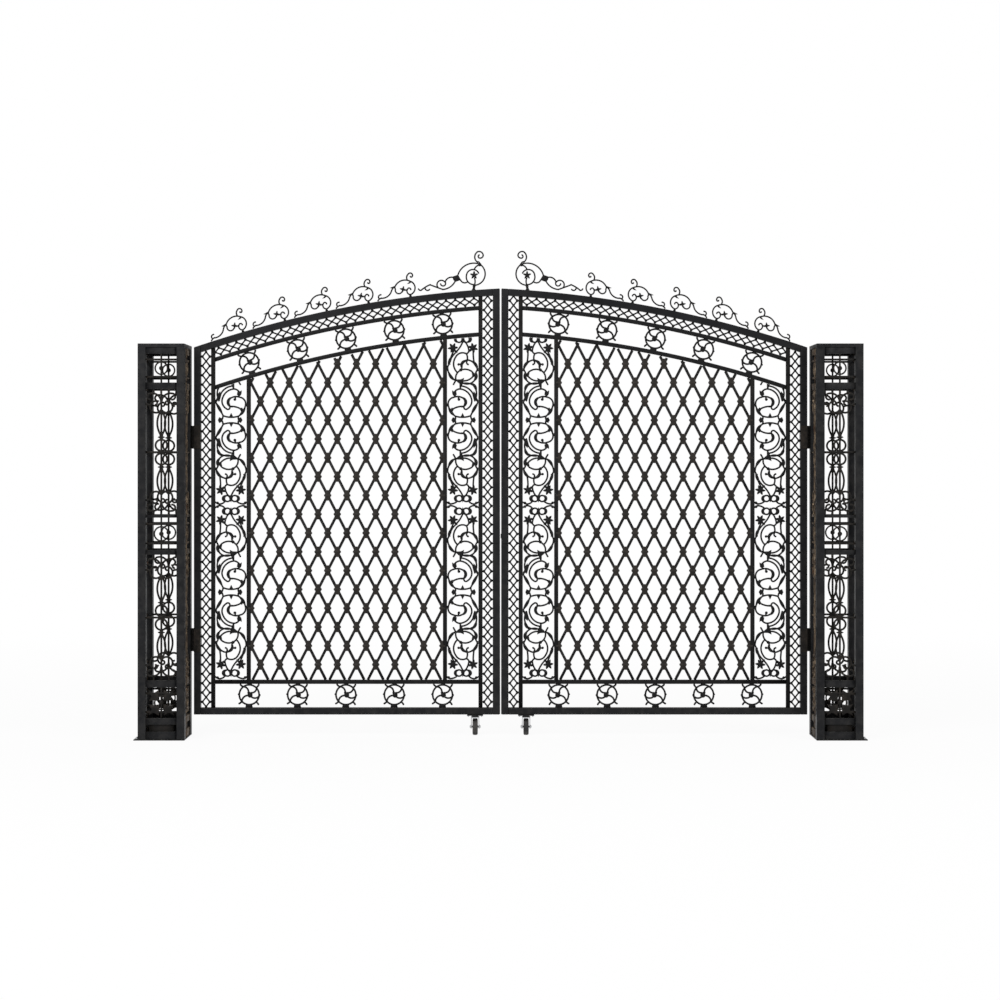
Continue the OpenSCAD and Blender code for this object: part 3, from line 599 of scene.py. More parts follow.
# %% Pieces
MIRROR = Matrix.Translation((RIGHT_POST_X * MM, 0, 0)) @ Matrix.Diagonal((-1, 1, 1, 1))
LEAF_PLACE = Matrix.Translation((LEAF_X * MM, LEAF_SET * MM, 0))
counts = {}


def put(name, data):
    """A new object in the scene."""
    thing = bpy.data.objects.new(name, data)
    bpy.context.scene.collection.objects.link(thing)
    return thing


def make_piece(name, mesh, body, material, replaced=()):
    piece = put(name, mesh)
    mesh.materials.append(material)
    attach(piece, body)
    if replaced:
        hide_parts(*replaced)
    counts[name] = sum(len(p.vertices) - 2 for p in mesh.polygons)


def finish_mesh(bm, name, to_world=Matrix.Identity(4), smooth=True):
    """A mesh from a drawing in millimetres."""
    bmesh.ops.recalc_face_normals(bm, faces=bm.faces)
    mesh = bpy.data.meshes.new(name)
    bm.to_mesh(mesh)
    bm.free()
    mesh.transform(to_world @ Matrix.Diagonal((MM, MM, MM, 1)))
    if smooth:
        mesh.shade_smooth()
    return mesh


def on_both_leaves(name, draw, material=cast_paint):
    """Draws a casting once and puts it on both leaves, in place of the CAD nodes of that name."""
    bm = bmesh.new()
    draw(bm)
    left = finish_mesh(bm, "left " + name, LEAF_PLACE)
    right = left.copy()
    right.transform(MIRROR)
    right.flip_normals()
    for side, mesh in (("left", left), ("right", right)):
        node = side + "_" + name
        make_piece("cast_" + node, mesh, side + "_leaf", material, [node] if node in nodes else [])
    print(name, counts["cast_left_" + name], "triangles a leaf")


# %% [markdown]
# ## Inner bars
#
# Flat bars divide the leaf: uprights beside the borders and the lattice, a straight bar over the lower
# rosettes and two arched ones. Their faces are a little broader than the CAD bars, and the outer uprights run
# on to the arched rail. A bar along an arc is swept like a casting, with a section that is nearly square.

# %% Inner bars
BAR_LAP = 4
TOP_LAP = 6
ARCH_STEPS = 60
CROSS_DEPTH = BAR_DEPTH - 0.4


def bar(bm, path, depth):
    sweep(bm, path, BAR_FACE, depth, BAR_SECTION, point=0.001)


def uprights(bm):
    for u, low, drop in ((SCROLL_U, RAIL_Z, BORDER_DROP), (LATTICE_U, PANEL_Z, PANEL_DROP)):
        for middle in (u - BAR_FACE / 2, LEAF_W - u + BAR_FACE / 2):
            foot, head = low - BAR_LAP, arch_at(middle, drop) + TOP_LAP
            bar(bm, straight((middle, foot), (middle, head), 2), BAR_DEPTH)


def cross_bars(bm):
    low, high = SCROLL_U - BAR_LAP, LEAF_W - SCROLL_U + BAR_LAP
    for drop in (ROSETTE_DROP, PANEL_DROP):
        arch = [(u, arch_at(u, drop - BAR_FACE / 2)) for u, _ in straight((low, 0), (high, 0), ARCH_STEPS)]
        bar(bm, arch, CROSS_DEPTH)
    z = LOWER_BAR_Z + BAR_FACE / 2
    bar(bm, straight((low, z), (high, z), 2), CROSS_DEPTH)


on_both_leaves("uprights", uprights, cast_paint)
on_both_leaves("cross_bars", cross_bars, cast_paint)

# %% [markdown]
# The meeting stiles come within a few millimetres of each other, a little less so at the top, where the
# leaves lean back. A thin strip on each closing edge narrows the gap by that much.

# %% Meeting edges
STRIP_W = 6.0
STRIP_LOW = 4.0
STRIP_HIGH = 2.5
STRIP_FOOT = 2
STRIP_HEAD = 3


def meeting_edges(bm):
    edge = LEAF_W - STRIP_W / 2
    foot = (edge + STRIP_LOW, RAIL_Z - FRAME_W + STRIP_FOOT)
    head = (edge + STRIP_HIGH, arch_at(LEAF_W, 0) - STRIP_HEAD)
    sweep(bm, straight(foot, head, 8), STRIP_W, FRAME_W - 2, BAR_SECTION, point=0.01)


on_both_leaves("meeting_edges", meeting_edges, tube_paint)

# %% [markdown]
# ## Linked borders
#
# A narrow band beside the stiles and under the arched rail is filled with crossed wires. They run from knob
# to knob and cross on the band's middle line in a knot, one wire just in front of the other, as bent wire
# would lie. Each band starts and ends at a knot, so its first and last links are half ones.

# %% Linked borders
RING_PITCH = 55.9
RING_WIRE = 9.2
RING_DEPTH = 8.0
WIRE_BEND = 1.6
KNOB_R = 9.0
KNOT_R = 8.0
BORDER_RISE = 6.0
KNOT_SINK = 2.0


def link(bm, spacing, knob, low, high, place):
    """Two crossed wires between two shares of a link's length, with a knot between and knobs at their tops."""
    for side in (-1, 1):
        ends = [(side * knob * (2 * share - 1), share * spacing) for share in (low, high)]
        path = [place(p) for p in straight(*ends, 6)]
        sweep(bm, path, RING_WIRE, RING_DEPTH, y=lambda t: WIRE_BEND * side * sin(pi * t))
        if high == 1.0:
            bud(bm, place((side * knob, spacing)), KNOB_R)
    bud(bm, place((0, spacing / 2)), KNOT_R)


# %% Bands of links


def border(bm, length, band, place_at):
    """Links along a band, half ones at its ends; place_at gives the place of a point that far along."""
    count = round(length / RING_PITCH)
    spacing = length / count
    for i in range(count + 1):
        along = (i - 0.5) * spacing
        low = 0.5 if i == 0 else 0.0
        high = 0.5 if i == count else 1.0
        link(bm, spacing, band / 2 - KNOB_R + 1, low, high, lambda p: place_at(along, p))


def upright_border(bm, u0, u1):
    middle = (u0 + u1) / 2
    low = RAIL_Z + BORDER_RISE
    high = min(arch_at(u0, BORDER_DROP), arch_at(u1, BORDER_DROP)) + KNOT_SINK
    border(bm, high - low, u1 - u0, lambda s, p: (middle + p[0], low + s + p[1]))


def arched_border(bm):
    band = ARCH_BORDER - BAR_FACE + BAR_W
    radius = ARCH_R - BORDER_DROP - band / 2
    first = asin((ARCH_U - SCROLL_U) / radius)
    last = asin((ARCH_U - LEAF_W + SCROLL_U - KNOT_SINK) / radius)

    def place_at(s, p):
        a = first - s / radius
        u = ARCH_U - radius * sin(a) + p[1] * cos(a) + p[0] * sin(a)
        z = ARCH_Z + radius * cos(a) + p[1] * sin(a) - p[0] * cos(a)
        return (u, z)

    border(bm, (first - last) * radius, band, place_at)


def ring_borders(bm):
    upright_border(bm, FRAME_W, UPRIGHT_U)
    upright_border(bm, LEAF_W - UPRIGHT_U, LEAF_W - FRAME_W)
    arched_border(bm)


on_both_leaves("ring_borders", ring_borders)

# %% [markdown]
# ## Rosettes
#
# Five rosettes stand in each of the two bands: a ring that just fits between the bars, a domed boss, and four
# bent arms that make the rosette look as if it turns. The upper ones lean with the arch.

# %% Rosettes
ROSETTES = 5
ROSETTE_PITCH = 290
ROSETTE_SHIFT = -6
ROSETTE_FIRST = LEAF_W / 2 + ROSETTE_SHIFT - (ROSETTES - 1) / 2 * ROSETTE_PITCH
ROSETTE_WIRE = 11.2
ROSETTE_RING_R = 65
BOSS_R = 16.0
BOSS_RIM = 4.0
BOSS_AT = (5, -2)
ROSETTE_ARMS = [
    [(-6, 8), (-12, 38), (-37, 48)], [(8, 12), (40, 26), (44, 46)],
    [(-6, -4), (-32, -14), (-44, -42)], [(10, -10), (38, -20), (62, -6)],
]
ROSETTE_TANGS = [
    [(-36, 48), (-48, 56), (-54, 63)], [(44, 44), (54, 54), (58, 63)],
    [(-44, -40), (-52, -48), (-62, -54)], [(42, -44), (50, -50), (56, -60)],
]
ROSETTE_BUDS = [((-63, 3), 6), ((62, -2), 7), ((-44, -41), 8), ((-3, 12), 9)]
ROSETTE_STUBS = [
    [(-16, 60), (20, 60), (14, 65.2), (-10, 65.2)], [(-20, -60), (18, -60), (21, -76), (-23, -76)],
]


def rosette_rise(band):
    """Height of a rosette's ring above the middle of its band."""
    return band / 2 - SEAT - ROSETTE_RING_R * band / ROSETTE_BAND


def rosette(bm, centre, lean, band):
    place = placed(centre, lean, band / ROSETTE_BAND)
    sweep(bm, circle(place, ROSETTE_RING_R - ROSETTE_WIRE / 2), ROSETTE_WIRE, CAST_DEPTH)
    ornament(bm, place, ROSETTE_ARMS + ROSETTE_TANGS, ROSETTE_WIRE, ROSETTE_BUDS, ROSETTE_STUBS)
    boss = place(BOSS_AT)
    bud(bm, boss, BOSS_R, 1.5 * CAST_DEPTH)
    sweep(bm, circle(placed(boss), 0.86 * BOSS_R, 24), BOSS_RIM, 1.1 * CAST_DEPTH)


def rosettes(bm):
    z = RAIL_Z + ROSETTE_BAND / 2 + rosette_rise(ROSETTE_BAND)
    drop = ROSETTE_DROP + ARCH_ROSETTE_BAND / 2 - rosette_rise(ARCH_ROSETTE_BAND)
    for i in range(ROSETTES):
        u = ROSETTE_FIRST + i * ROSETTE_PITCH
        rosette(bm, (u, z), 0.0, ROSETTE_BAND)
        rosette(bm, (u, arch_at(u, drop)), asin((ARCH_U - u) / (ARCH_R - drop)), ARCH_ROSETTE_BAND)


on_both_leaves("rosettes", rosettes)

# %% [markdown]
# ## Lattice
#
# Square bars cross in long diamonds, and a cast collar clasps every crossing. The collar has a waist and two
# small ears, and stands proud of the bars. Its paint is lighter than theirs, a painted highlight for the light
# it catches, with more rust as well.

# %% Lattice bars
LATTICE_BAR = 16.5
LATTICE_DEPTH = 12
DIAMONDS = 10
DIAMOND_H = 225.5
DIAMOND_W = (LEAF_W - 2 * LATTICE_U) / DIAMONDS
DIAMOND_RISE = 3
DIAMOND_Z = LOWER_BAR_Z + DIAMOND_RISE
DIAMOND_ROWS = ceil((ARCH_TOP - DIAMOND_Z) / DIAMOND_H)


def lattice(bm):
    rise = DIAMONDS * DIAMOND_H
    for i in range(-DIAMONDS, DIAMOND_ROWS + 1):
        for side in (-1, 1):
            z = DIAMOND_Z + i * DIAMOND_H + (0 if side > 0 else rise)
            line = straight((LATTICE_U, z), (LEAF_W - LATTICE_U, z + side * rise), 400)
            inside = [p for p in line if PANEL_Z < p[1] < arch_at(p[0], PANEL_DROP)]
            if len(inside) > 1:
                sweep(bm, [inside[0], inside[-1]], LATTICE_BAR, LATTICE_DEPTH, BAR_SECTION, point=0.1)


on_both_leaves("lattice", lattice)

# %% Collars
COLLAR_W = 37
COLLAR_H = 62
COLLAR_DEPTH = 18.0
COLLAR_SWELL = [
    (-1.0, 0.6), (-0.95, 0.86), (-0.8, 0.95), (-0.32, 0.9), (-0.22, 1.0), (-0.15, 1.2),
    (0.15, 1.2), (0.22, 1.0), (0.32, 0.9), (0.8, 0.95), (0.95, 0.86), (1.0, 0.6),
]
COLLAR_STEPS = steps([width for _, width in COLLAR_SWELL], True)


def collars(bm):
    for row in range(1, 2 * DIAMOND_ROWS + 1):
        for i in range(DIAMONDS + 1):
            u = LATTICE_U + (i + (row % 2) / 2) * DIAMOND_W
            z = DIAMOND_Z + row * DIAMOND_H / 2
            if u > LEAF_W - LATTICE_U + 1 or z + COLLAR_H / 2 > arch_at(u, PANEL_DROP):
                continue
            path = [(u, z + share * COLLAR_H / 2) for share, _ in COLLAR_SWELL]
            sweep(bm, path, COLLAR_W, COLLAR_DEPTH, COLLAR_SECTION, COLLAR_STEPS, point=0.02)


# The collars' lighter paint is a painted highlight, besides their extra rust.
on_both_leaves("collars", collars, collar_paint_with_painted_highlight)

# %% [markdown]
# ## Scroll panels
#
# A tall panel on each side of the lattice holds cast scrolls. One unit is a mirror image of itself about the
# axis through its flowers, so half a unit is drawn and stacked up and down. The hinge side's panel mirrors
# the meeting side's.

# %% Scroll drawing
SCROLL_H = 524
SCROLL_WIRE = 10.4
TOP_UNIT_DROP = 16
SCROLL_AXES = (0, 2 * SCROLL_H, 4 * SCROLL_H - TOP_UNIT_DROP)
BELLY = 19.0
FLOWER_R = 32
RING_R = 24
SCROLL_RINGS = [(77, 39), (120, 39)]
SCROLL_FLOWERS = [((40, 91), 54), ((160, 91), 18)]
SCROLL_ARCS = [
    # Ties at the flower axis, and the two stems that cross between the rings
    [(22, 8), (12, 12), (-2, 20)], [(18, 6), (42, 8), (66, 22)], [(172, 6), (182, 10), (195, 18)],
    [(176, 6), (152, 8), (135, 22)], [(104, 38), (84, 84), (60, 114)], [(97, 38), (124, 70), (136, 111)],
    [(40, 91), (50, 106), (60, 114)], [(160, 91), (150, 104), (136, 111)],
    # Left leaf arc, its bud on the bar and the arc above it
    [(45, 108), (26, 152), (16, 184)], [(16, 184), (12, 198), (4, 207)], [(19, 180), (34, 146), (60, 116)],
    [(8, 208), (21, 252), (56, 286)], [(56, 286), (50, 298), (42, 312)],
    # Large C scroll from the right stem to the loop
    [(136, 110), (130, 120), (119, 126)], [(120, 126), (88, 121), (57, 145)],
    [(57, 145), (44, 190), (66, 238)],
    # Ring with its stem, its hook and the bud beside it
    [(187, 222), (170, 186), (141, 166)], [(141, 166), (106, 172), (94, 200)],
    [(94, 200), (92, 214), (84, 226)], [(121, 126), (127, 146), (125, 166)],
    [(126, 168), (122, 180), (131, 190)], [(96, 191), (85, 189), (74, 190)],
    [(162, 110), (163, 148), (168, 184)],
    # Wave over the ring, the loop round it and the arc beside the bar
    [(84, 226), (115, 219), (146, 228)], [(146, 228), (157, 236), (163, 250)],
    [(84, 226), (63, 246), (58, 284)], [(94, 288), (130, 284), (160, 262)],
    [(188, 222), (176, 244), (178, 270)], [(178, 270), (160, 295), (100, 302)],
    # Fan of ribs from the large leaf, the last one with a hook
    [(99, 304), (140, 305), (165, 317)], [(165, 317), (179, 344), (174, 400)],
    [(95, 320), (135, 336), (160, 366)], [(160, 366), (167, 392), (172, 410)],
    [(79, 337), (122, 352), (148, 387)], [(148, 387), (151, 425), (128, 455)],
    [(128, 455), (113, 459), (106, 444)],
    # Hooked scroll with its bud, and the small leaf's stem
    [(45, 387), (75, 383), (102, 393)], [(102, 393), (113, 420), (104, 442)],
    [(104, 442), (66, 446), (33, 462)], [(75, 385), (73, 392), (76, 400)],
    [(45, 364), (58, 346), (80, 337)], [(45, 366), (52, 378), (63, 384)],
    # Left arcs from their bud on the bar
    [(51, 498), (26, 470), (12, 434)], [(12, 434), (18, 404), (46, 387)],
    # Curve along the leaf axis, the upper right arc and the ties across the axis
    [(51, 499), (96, 507), (146, 498)], [(146, 498), (166, 460), (190, 418)],
    [(53, 500), (56, 512), (48, 528)], [(147, 500), (150, 514), (158, 528)],
]
SCROLL_BELLIES = [
    # Where a bar swells: the rings, the arcs beside the bars, the hooked scroll and the fan
    [(66, 20), (54, 39), (66, 58)], [(134, 20), (146, 39), (134, 58)], [(99, 20), (101, 42), (96, 64)],
    [(13, 196), (20, 170), (34, 140)], [(14, 232), (28, 264), (54, 286)],
    [(92, 212), (99, 178), (126, 167)], [(150, 168), (171, 184), (187, 222)],
    [(90, 388), (117, 416), (94, 446)], [(150, 303), (172, 322), (179, 352)],
    [(180, 404), (174, 380), (166, 356)], [(150, 490), (168, 456), (191, 418)],
    [(14, 444), (28, 474), (52, 499)], [(38, 350), (46, 366), (58, 384)],
    [(180, 240), (179, 268), (164, 290)],
]
SCROLL_BUDS = [
    ((14, 12), 9), ((180, 11), 9), ((131, 190), 6), ((97, 44), 9), ((46, 522), 9), ((160, 522), 9),
    ((60, 114), 9), ((4, 207), 10), ((190, 222), 10), ((57, 285), 8), ((74, 190), 8), ((87, 223), 10),
    ((76, 400), 9), ((4, 434), 10), ((123, 128), 6),
]
SCROLL_LEAVES = [
    [(8, 198), (12, 170), (22, 168), (26, 190)],
    [(152, 240), (160, 232), (172, 246), (170, 264), (158, 268)],
    [(58, 280), (88, 279), (107, 270), (103, 296), (86, 341), (79, 340), (79, 306), (64, 294)],
    [(34, 350), (60, 352), (64, 372), (44, 378)],
    [(162, 364), (172, 364), (186, 394), (196, 410), (196, 428), (176, 406)],
    [(20, 466), (38, 474), (48, 456), (34, 448)],
    [(102, 440), (115, 432), (121, 414), (115, 396), (105, 394), (109, 414)],
    [(86, 504), (110, 504), (98, 480)],
    [(56, 514), (40, 506), (30, 524), (56, 524)],
    [(152, 514), (170, 506), (178, 524), (154, 524)],
]


def half_scroll(bm, place):
    for x, z in SCROLL_RINGS:
        ring = circle(lambda p: place((x + p[0], z + p[1])), RING_R - SCROLL_WIRE / 2, 28)
        sweep(bm, ring, SCROLL_WIRE, CAST_DEPTH)
    ornament(bm, place, SCROLL_ARCS, SCROLL_WIRE, SCROLL_BUDS, SCROLL_LEAVES)
    for a, b, c in SCROLL_BELLIES:
        sweep(bm, arc(place(a), place(b), place(c)), BELLY, 1.1 * CAST_DEPTH, swell=belly)
    for centre, turn in SCROLL_FLOWERS:
        t = radians(turn)
        spot, other = place(centre), place((centre[0] + cos(t), centre[1] + sin(t)))
        facing = degrees(atan2(other[1] - spot[1], other[0] - spot[0]))
        flower(bm, spot, FLOWER_R, petals=6, turn=facing)


# %% [markdown]
# The panels end at the arched bar above and the straight bar below, in the middle of a unit. Real castings
# are sawn off there, so the stack is drawn past the end and cut by planes: one at each upright bar, one at
# the lower bar and one along the arch. The unit between the second and third axes is a little shorter than
# the others.

# %% Scroll panels
PANEL_FOOT = 6
ARCH_CUT = 1.5


def cut_off(bm, point, outward):
    """Cuts off what lies beyond a plane, and closes the cut."""
    everything = bm.verts[:] + bm.edges[:] + bm.faces[:]
    cut = bmesh.ops.bisect_plane(bm, geom=everything, plane_co=point, plane_no=outward, clear_outer=True)
    edges = [e for e in cut["geom_cut"] if isinstance(e, bmesh.types.BMEdge)]
    bmesh.ops.holes_fill(bm, edges=edges, sides=0)


def scroll_panel(bm, u0, u1, flip):
    top = max(arch_at(u0, PANEL_DROP), arch_at(u1, PANEL_DROP))
    squeezed = SCROLL_H - TOP_UNIT_DROP
    for unit, above in enumerate(SCROLL_AXES):
        axis = PANEL_Z + PANEL_FOOT + above
        for side in (-1, 1):
            if axis + (side - 1) / 2 * SCROLL_H >= top or unit + side < 0:
                continue
            stretch = side * squeezed / SCROLL_H if (unit, side) == (1, 1) else side
            half_scroll(bm, lambda p: (u1 - p[0] if flip else u0 + p[0], axis + stretch * p[1]))
    cut_off(bm, (u0 + SEAT, 0, 0), (-1, 0, 0))
    cut_off(bm, (u1 - SEAT, 0, 0), (1, 0, 0))
    cut_off(bm, (0, 0, PANEL_Z + SEAT), (0, 0, -1))
    middle = (u0 + u1) / 2
    slope = (ARCH_U - middle) / (arch_at(middle, PANEL_DROP) - ARCH_Z)
    cut_off(bm, (middle, 0, arch_at(middle, PANEL_DROP) - ARCH_CUT), (-slope, 0, 1))


on_both_leaves("hinge_scrolls", lambda bm: scroll_panel(bm, SCROLL_U, PANEL_U, True))
on_both_leaves("meeting_scrolls", lambda bm: scroll_panel(bm, LEAF_W - PANEL_U, LEAF_W - SCROLL_U, False))

# %% [markdown]
# ## Crest and finial
#
# Five waves of scrolls climb each arched rail, and a tall finial ends the row at the meeting stile. Each
# stands on one foot. The drawings have their foot at the origin; the crest leans with the rail, the finial
# stands upright.

# %% Crest
CRESTS = 5
CREST_WIRE = 9.0
CREST_U = 293
FINIAL_BACK = 154
FINIAL_ROOM = 379
FINIAL_U = LEAF_W - FINIAL_BACK
LAST_CREST_U = FINIAL_U - FINIAL_ROOM
CREST_PITCH = (LAST_CREST_U - CREST_U) / (CRESTS - 1)
CREST_FLOWER = (-39, 51)
CREST_ARCS = [
    # Arch from the foot over the top into the waved tail
    [(2, 14), (34, 52), (9, 94)], [(9, 94), (-31, 105), (-84, 74)], [(-84, 74), (-97, 66), (-110, 48)],
    [(-109, 50), (-134, 22), (-177, 15)],
    # Hook on top
    [(-4, 99), (-8, 120), (3, 137)], [(3, 137), (24, 139), (27, 121)], [(27, 123), (22, 117), (14, 121)],
    # Volute inside the foot, and the stem and C scroll of the flower
    [(0, 14), (-17, 38), (-7, 53)], [(-8, 53), (2, 53), (7, 43)], [(-16, 46), (-26, 44), (-39, 50)],
    [(-47, 38), (-66, 28), (-84, 58)], [(-84, 56), (-86, 65), (-85, 76)],
    # Fork of the tail
    [(-172, 16), (-186, 12), (-198, 2)], [(-186, 12), (-190, 28), (-175, 36)],
]
CREST_BUDS = [((15, 121), 5), ((7, 44), 5), ((-175, 36), 5)]
CREST_LEAVES = [
    [(-80, 80), (-97, 75), (-117, 70), (-100, 62), (-86, 66)], [(16, 86), (8, 94), (-12, 79), (4, 80)],
    [(-9, 0.5), (9, 0.5), (4, 18), (-4, 18)],
]


def crest(bm):
    for i in range(CRESTS):
        u = CREST_U + i * CREST_PITCH
        lean = asin((ARCH_U - u) / ARCH_R)
        place = placed((u, arch_at(u, 0)), lean)
        ornament(bm, place, CREST_ARCS, CREST_WIRE, CREST_BUDS, CREST_LEAVES)
        flower(bm, place(CREST_FLOWER), radius=21, petals=4, turn=70 + degrees(lean))


on_both_leaves("crest", crest)

# %% Finial
FINIAL_FOOT_W = 26
FINIAL_FLOWER = (2, 91)
FINIAL_ARCS = [
    # Ring at the right and the spiral on top
    [(4, 30), (67, 84), (40, 154)], [(24, 168), (6, 204), (20, 229)], [(18, 229), (44, 230), (57, 208)],
    [(57, 212), (50, 197), (36, 193)], [(38, 193), (27, 200), (32, 212)], [(36, 152), (34, 166), (22, 172)],
    # Left arc down to the leafy collar, and the open ring with its flower
    [(32, 158), (-36, 156), (-96, 88)], [(30, 102), (-14, 124), (-44, 86)], [(-44, 89), (-32, 48), (4, 34)],
    [(-80, 64), (-58, 45), (-36, 52)], [(36, 152), (14, 142), (2, 122)], [(4, 74), (8, 54), (4, 32)],
    # Small spiral and the long waved tail
    [(-118, 76), (-152, 74), (-172, 48)], [(-172, 51), (-186, 26), (-199, 38)],
    [(-172, 48), (-196, 60), (-214, 16)], [(-110, 58), (-142, 20), (-188, 5)],
    [(-185, 5), (-222, 18), (-264, 34)], [(-261, 34), (-292, 18), (-316, 0)],
    [(-313, 1), (-325, 1), (-332, 10)], [(-292, 17), (-282, 0), (-264, 7)],
]
FINIAL_BUDS = [
    ((4, 33), 8), ((36, 154), 11), ((-98, 74), 12), ((-172, 49), 5), ((-186, 5), 5), ((-262, 34), 5),
    ((32, 212), 5), ((-199, 38), 5),
]
FINIAL_COLLAR = [(-94, 94), (-76, 62), (-112, 50), (-124, 64), (-128, 82)]
FINIAL_FOOT = [((0, 0.6), 1.0), ((0, 3), 1.0), ((0, 8), 0.66), ((1, 16), 0.56), ((2, 24), 0.7), ((3, 33), 0.6)]


def finial(bm):
    place = placed((FINIAL_U, arch_at(FINIAL_U, 0)))
    ornament(bm, place, FINIAL_ARCS, CREST_WIRE, FINIAL_BUDS, [FINIAL_COLLAR])
    foot = [place(p) for p, _ in FINIAL_FOOT]
    swell = steps([share for _, share in FINIAL_FOOT], False)
    sweep(bm, foot, FINIAL_FOOT_W, CAST_DEPTH, swell=swell, point=0.01)
    flower(bm, place(FINIAL_FLOWER), radius=26, petals=5, turn=90)


on_both_leaves("finial", finial)

# %% [markdown]
# ## Post castings
#
# Each face of a post has seven rails between its corner legs, with square openings and tall ones between
# them. The squares hold a ring on a cross of bars, the tall ones a stem with flowers, loops and scrolls, the
# same above and below their middle and left and right of the stem. The lowest square is leafy, with a plate
# in the slot below it.

# %% Post faces
LEG_W = 47
FACE_W = POST_W - 2 * LEG_W
FACE_DEPTH = 14
FACE_INSET = 6
FACE_MID = POST_W / 2 - FACE_INSET - FACE_DEPTH / 2
FACE_WIRE = 12.0
THIN_WIRE = 0.8 * FACE_WIRE
THIN_DEPTH = 0.8 * FACE_DEPTH
MOTIF_DEPTH = 0.9 * FACE_DEPTH
SLOT_PLATE_T = 3
SLOT_PLATE_Y = 5.0
BASE_T = 6
CAP_H = 22
RAILS_H = 2294
TALL_W = 182
TALL_H = 367
TALL_BUD_Z = 243
TALL_FLOWER_Z = 88
RAIL_EDGES = [(0, 45), (86, 124), (304, 345), (1080, 1108), (1297, 1312), (2049, 2088), (2256, RAILS_H)]
RAIL_SCALE = (POST_H - CAP_H - BASE_T) / RAILS_H
FACE_RAILS = [(low * RAIL_SCALE, high * RAIL_SCALE) for low, high in RAIL_EDGES]
TALL_ARCS = [
    [(2, 8), (34, 38), (2, 72)], [(2, 98), (24, 168), (2, 240)],
    [(2, 246), (66, 262), (34, 298)], [(36, 298), (24, 286), (36, 276)],
    [(2, 290), (24, 334), (64, 342)], [(62, 342), (82, 322), (60, 306)],
    [(64, 270), (78, 278), (91, 279)], [(42, 338), (45, 354), (45, 366)],
]
QUARTER_LEAF = [
    (0.06, 0.05), (0.26, 0.08), (0.42, 0.05), (0.32, 0.20), (0.43, 0.42), (0.24, 0.32), (0.08, 0.42),
]
print("rails of a post face:", len(FACE_RAILS))

# %% Motifs of the openings


def square_motif(bm, low, high):
    middle, h = (low + high) / 2, high - low
    sweep(bm, circle(placed((0, middle)), 0.25 * h - FACE_WIRE / 2, 32), THIN_WIRE, FACE_DEPTH)
    sweep(bm, straight((0, low), (0, high)), THIN_WIRE, THIN_DEPTH, BAR_SECTION, point=0.01)
    for side in (-1, 1):
        z = middle + side * 0.3 * h
        sweep(bm, straight((-FACE_W / 2, z), (FACE_W / 2, z)), FACE_WIRE, THIN_DEPTH, BAR_SECTION, point=0.01)
        bud(bm, (0, z), 9, 1.2 * FACE_DEPTH)
    bud(bm, (0, middle), 14, 1.3 * FACE_DEPTH)


def leafy_square(bm, low, high):
    """A ring on its cross of bars, with a broad leaf in each quarter."""
    square_motif(bm, low, high)
    middle, h = (low + high) / 2, high - low
    for x in (-1, 1):
        for z in (-1, 1):
            broad_leaf(bm, [(x * u * FACE_W, middle + z * v * h) for u, v in QUARTER_LEAF], FACE_DEPTH)


def tall_motif(bm, low, high):
    middle, tall = (low + high) / 2, (high - low) / 2 / TALL_H
    for z in (-1, 1):
        for x in (-FACE_W / TALL_W, FACE_W / TALL_W):
            ornament(bm, lambda p: (x * p[0], middle + z * tall * p[1]), TALL_ARCS, FACE_WIRE,
                     depth=MOTIF_DEPTH)
        flower(bm, (0, middle + z * TALL_FLOWER_Z), radius=22, petals=6, turn=0)
        bud(bm, (0, middle + z * tall * TALL_BUD_Z), 9, FACE_DEPTH)
    for a, b in (((0, low), (0, high)), ((-FACE_W / 2, middle), (FACE_W / 2, middle))):
        sweep(bm, straight(a, b), FACE_WIRE, THIN_DEPTH, point=0.01)
    bud(bm, (0, middle), 14, 1.2 * FACE_DEPTH)


# %% Faces on the posts


def plate(bm, low, high, half, depth, y=None):
    """A flat bar across a face."""
    z = (low + high) / 2
    sweep(bm, straight((-half, z), (half, z), 2), high - low, depth, PLATE_SECTION, y=y, point=0.0001)


def face_panel():
    bm = bmesh.new()
    for low, high in FACE_RAILS:
        plate(bm, low, high, FACE_W / 2, FACE_DEPTH)
    for patch in bm.faces:
        patch.material_index = 1
    plate(bm, FACE_RAILS[0][1] - 1, FACE_RAILS[1][0] + 1, 0.4 * FACE_W, SLOT_PLATE_T, lambda t: SLOT_PLATE_Y)
    for below, motif in enumerate((leafy_square, tall_motif, square_motif, tall_motif, square_motif), 1):
        motif(bm, FACE_RAILS[below][1], FACE_RAILS[below + 1][0])
    return finish_mesh(bm, "post face", Matrix.Translation((0, 0, BASE_T * MM)))


face = face_panel()
face.transform(Matrix.Translation((0, -FACE_MID * MM, 0)))
# Front and back faces take the post casting paint; the sides take the lighter side paint, which is painted
# light as well as rust.
for side, post_x in (("left", 0), ("right", RIGHT_POST_X)):
    for pair, turns, paints in (("front_back", (0, 180), (post_paint, tube_paint)),
                                ("sides", (90, 270), (side_paint_with_rust_and_painted_light, side_paint_with_rust_and_painted_light))):
        bm = bmesh.new()
        for turn in turns:
            copy = face.copy()
            spin = Matrix.Rotation(radians(turn), 4, "Z")
            copy.transform(Matrix.Translation((post_x * MM, 0, 0)) @ spin)
            bm.from_mesh(copy)
            bpy.data.meshes.remove(copy)
        mesh = bpy.data.meshes.new(f"{side} post {pair}")
        bm.to_mesh(mesh)
        bm.free()
        mesh.shade_smooth()
        node = f"{side}_post_{pair}"
        make_piece("cast_" + node, mesh, "posts", paints[0], [node])
        mesh.materials.append(paints[1])
print("post faces:", counts["cast_left_post_sides"], "triangles a pair")

# %% [markdown]
# ## Casters
#
# The tyre is turned on its axle: a crowned tread with two grooves, soft shoulders, and a hub with a bearing
# cap. A profile of radius and width is spun round the axle.

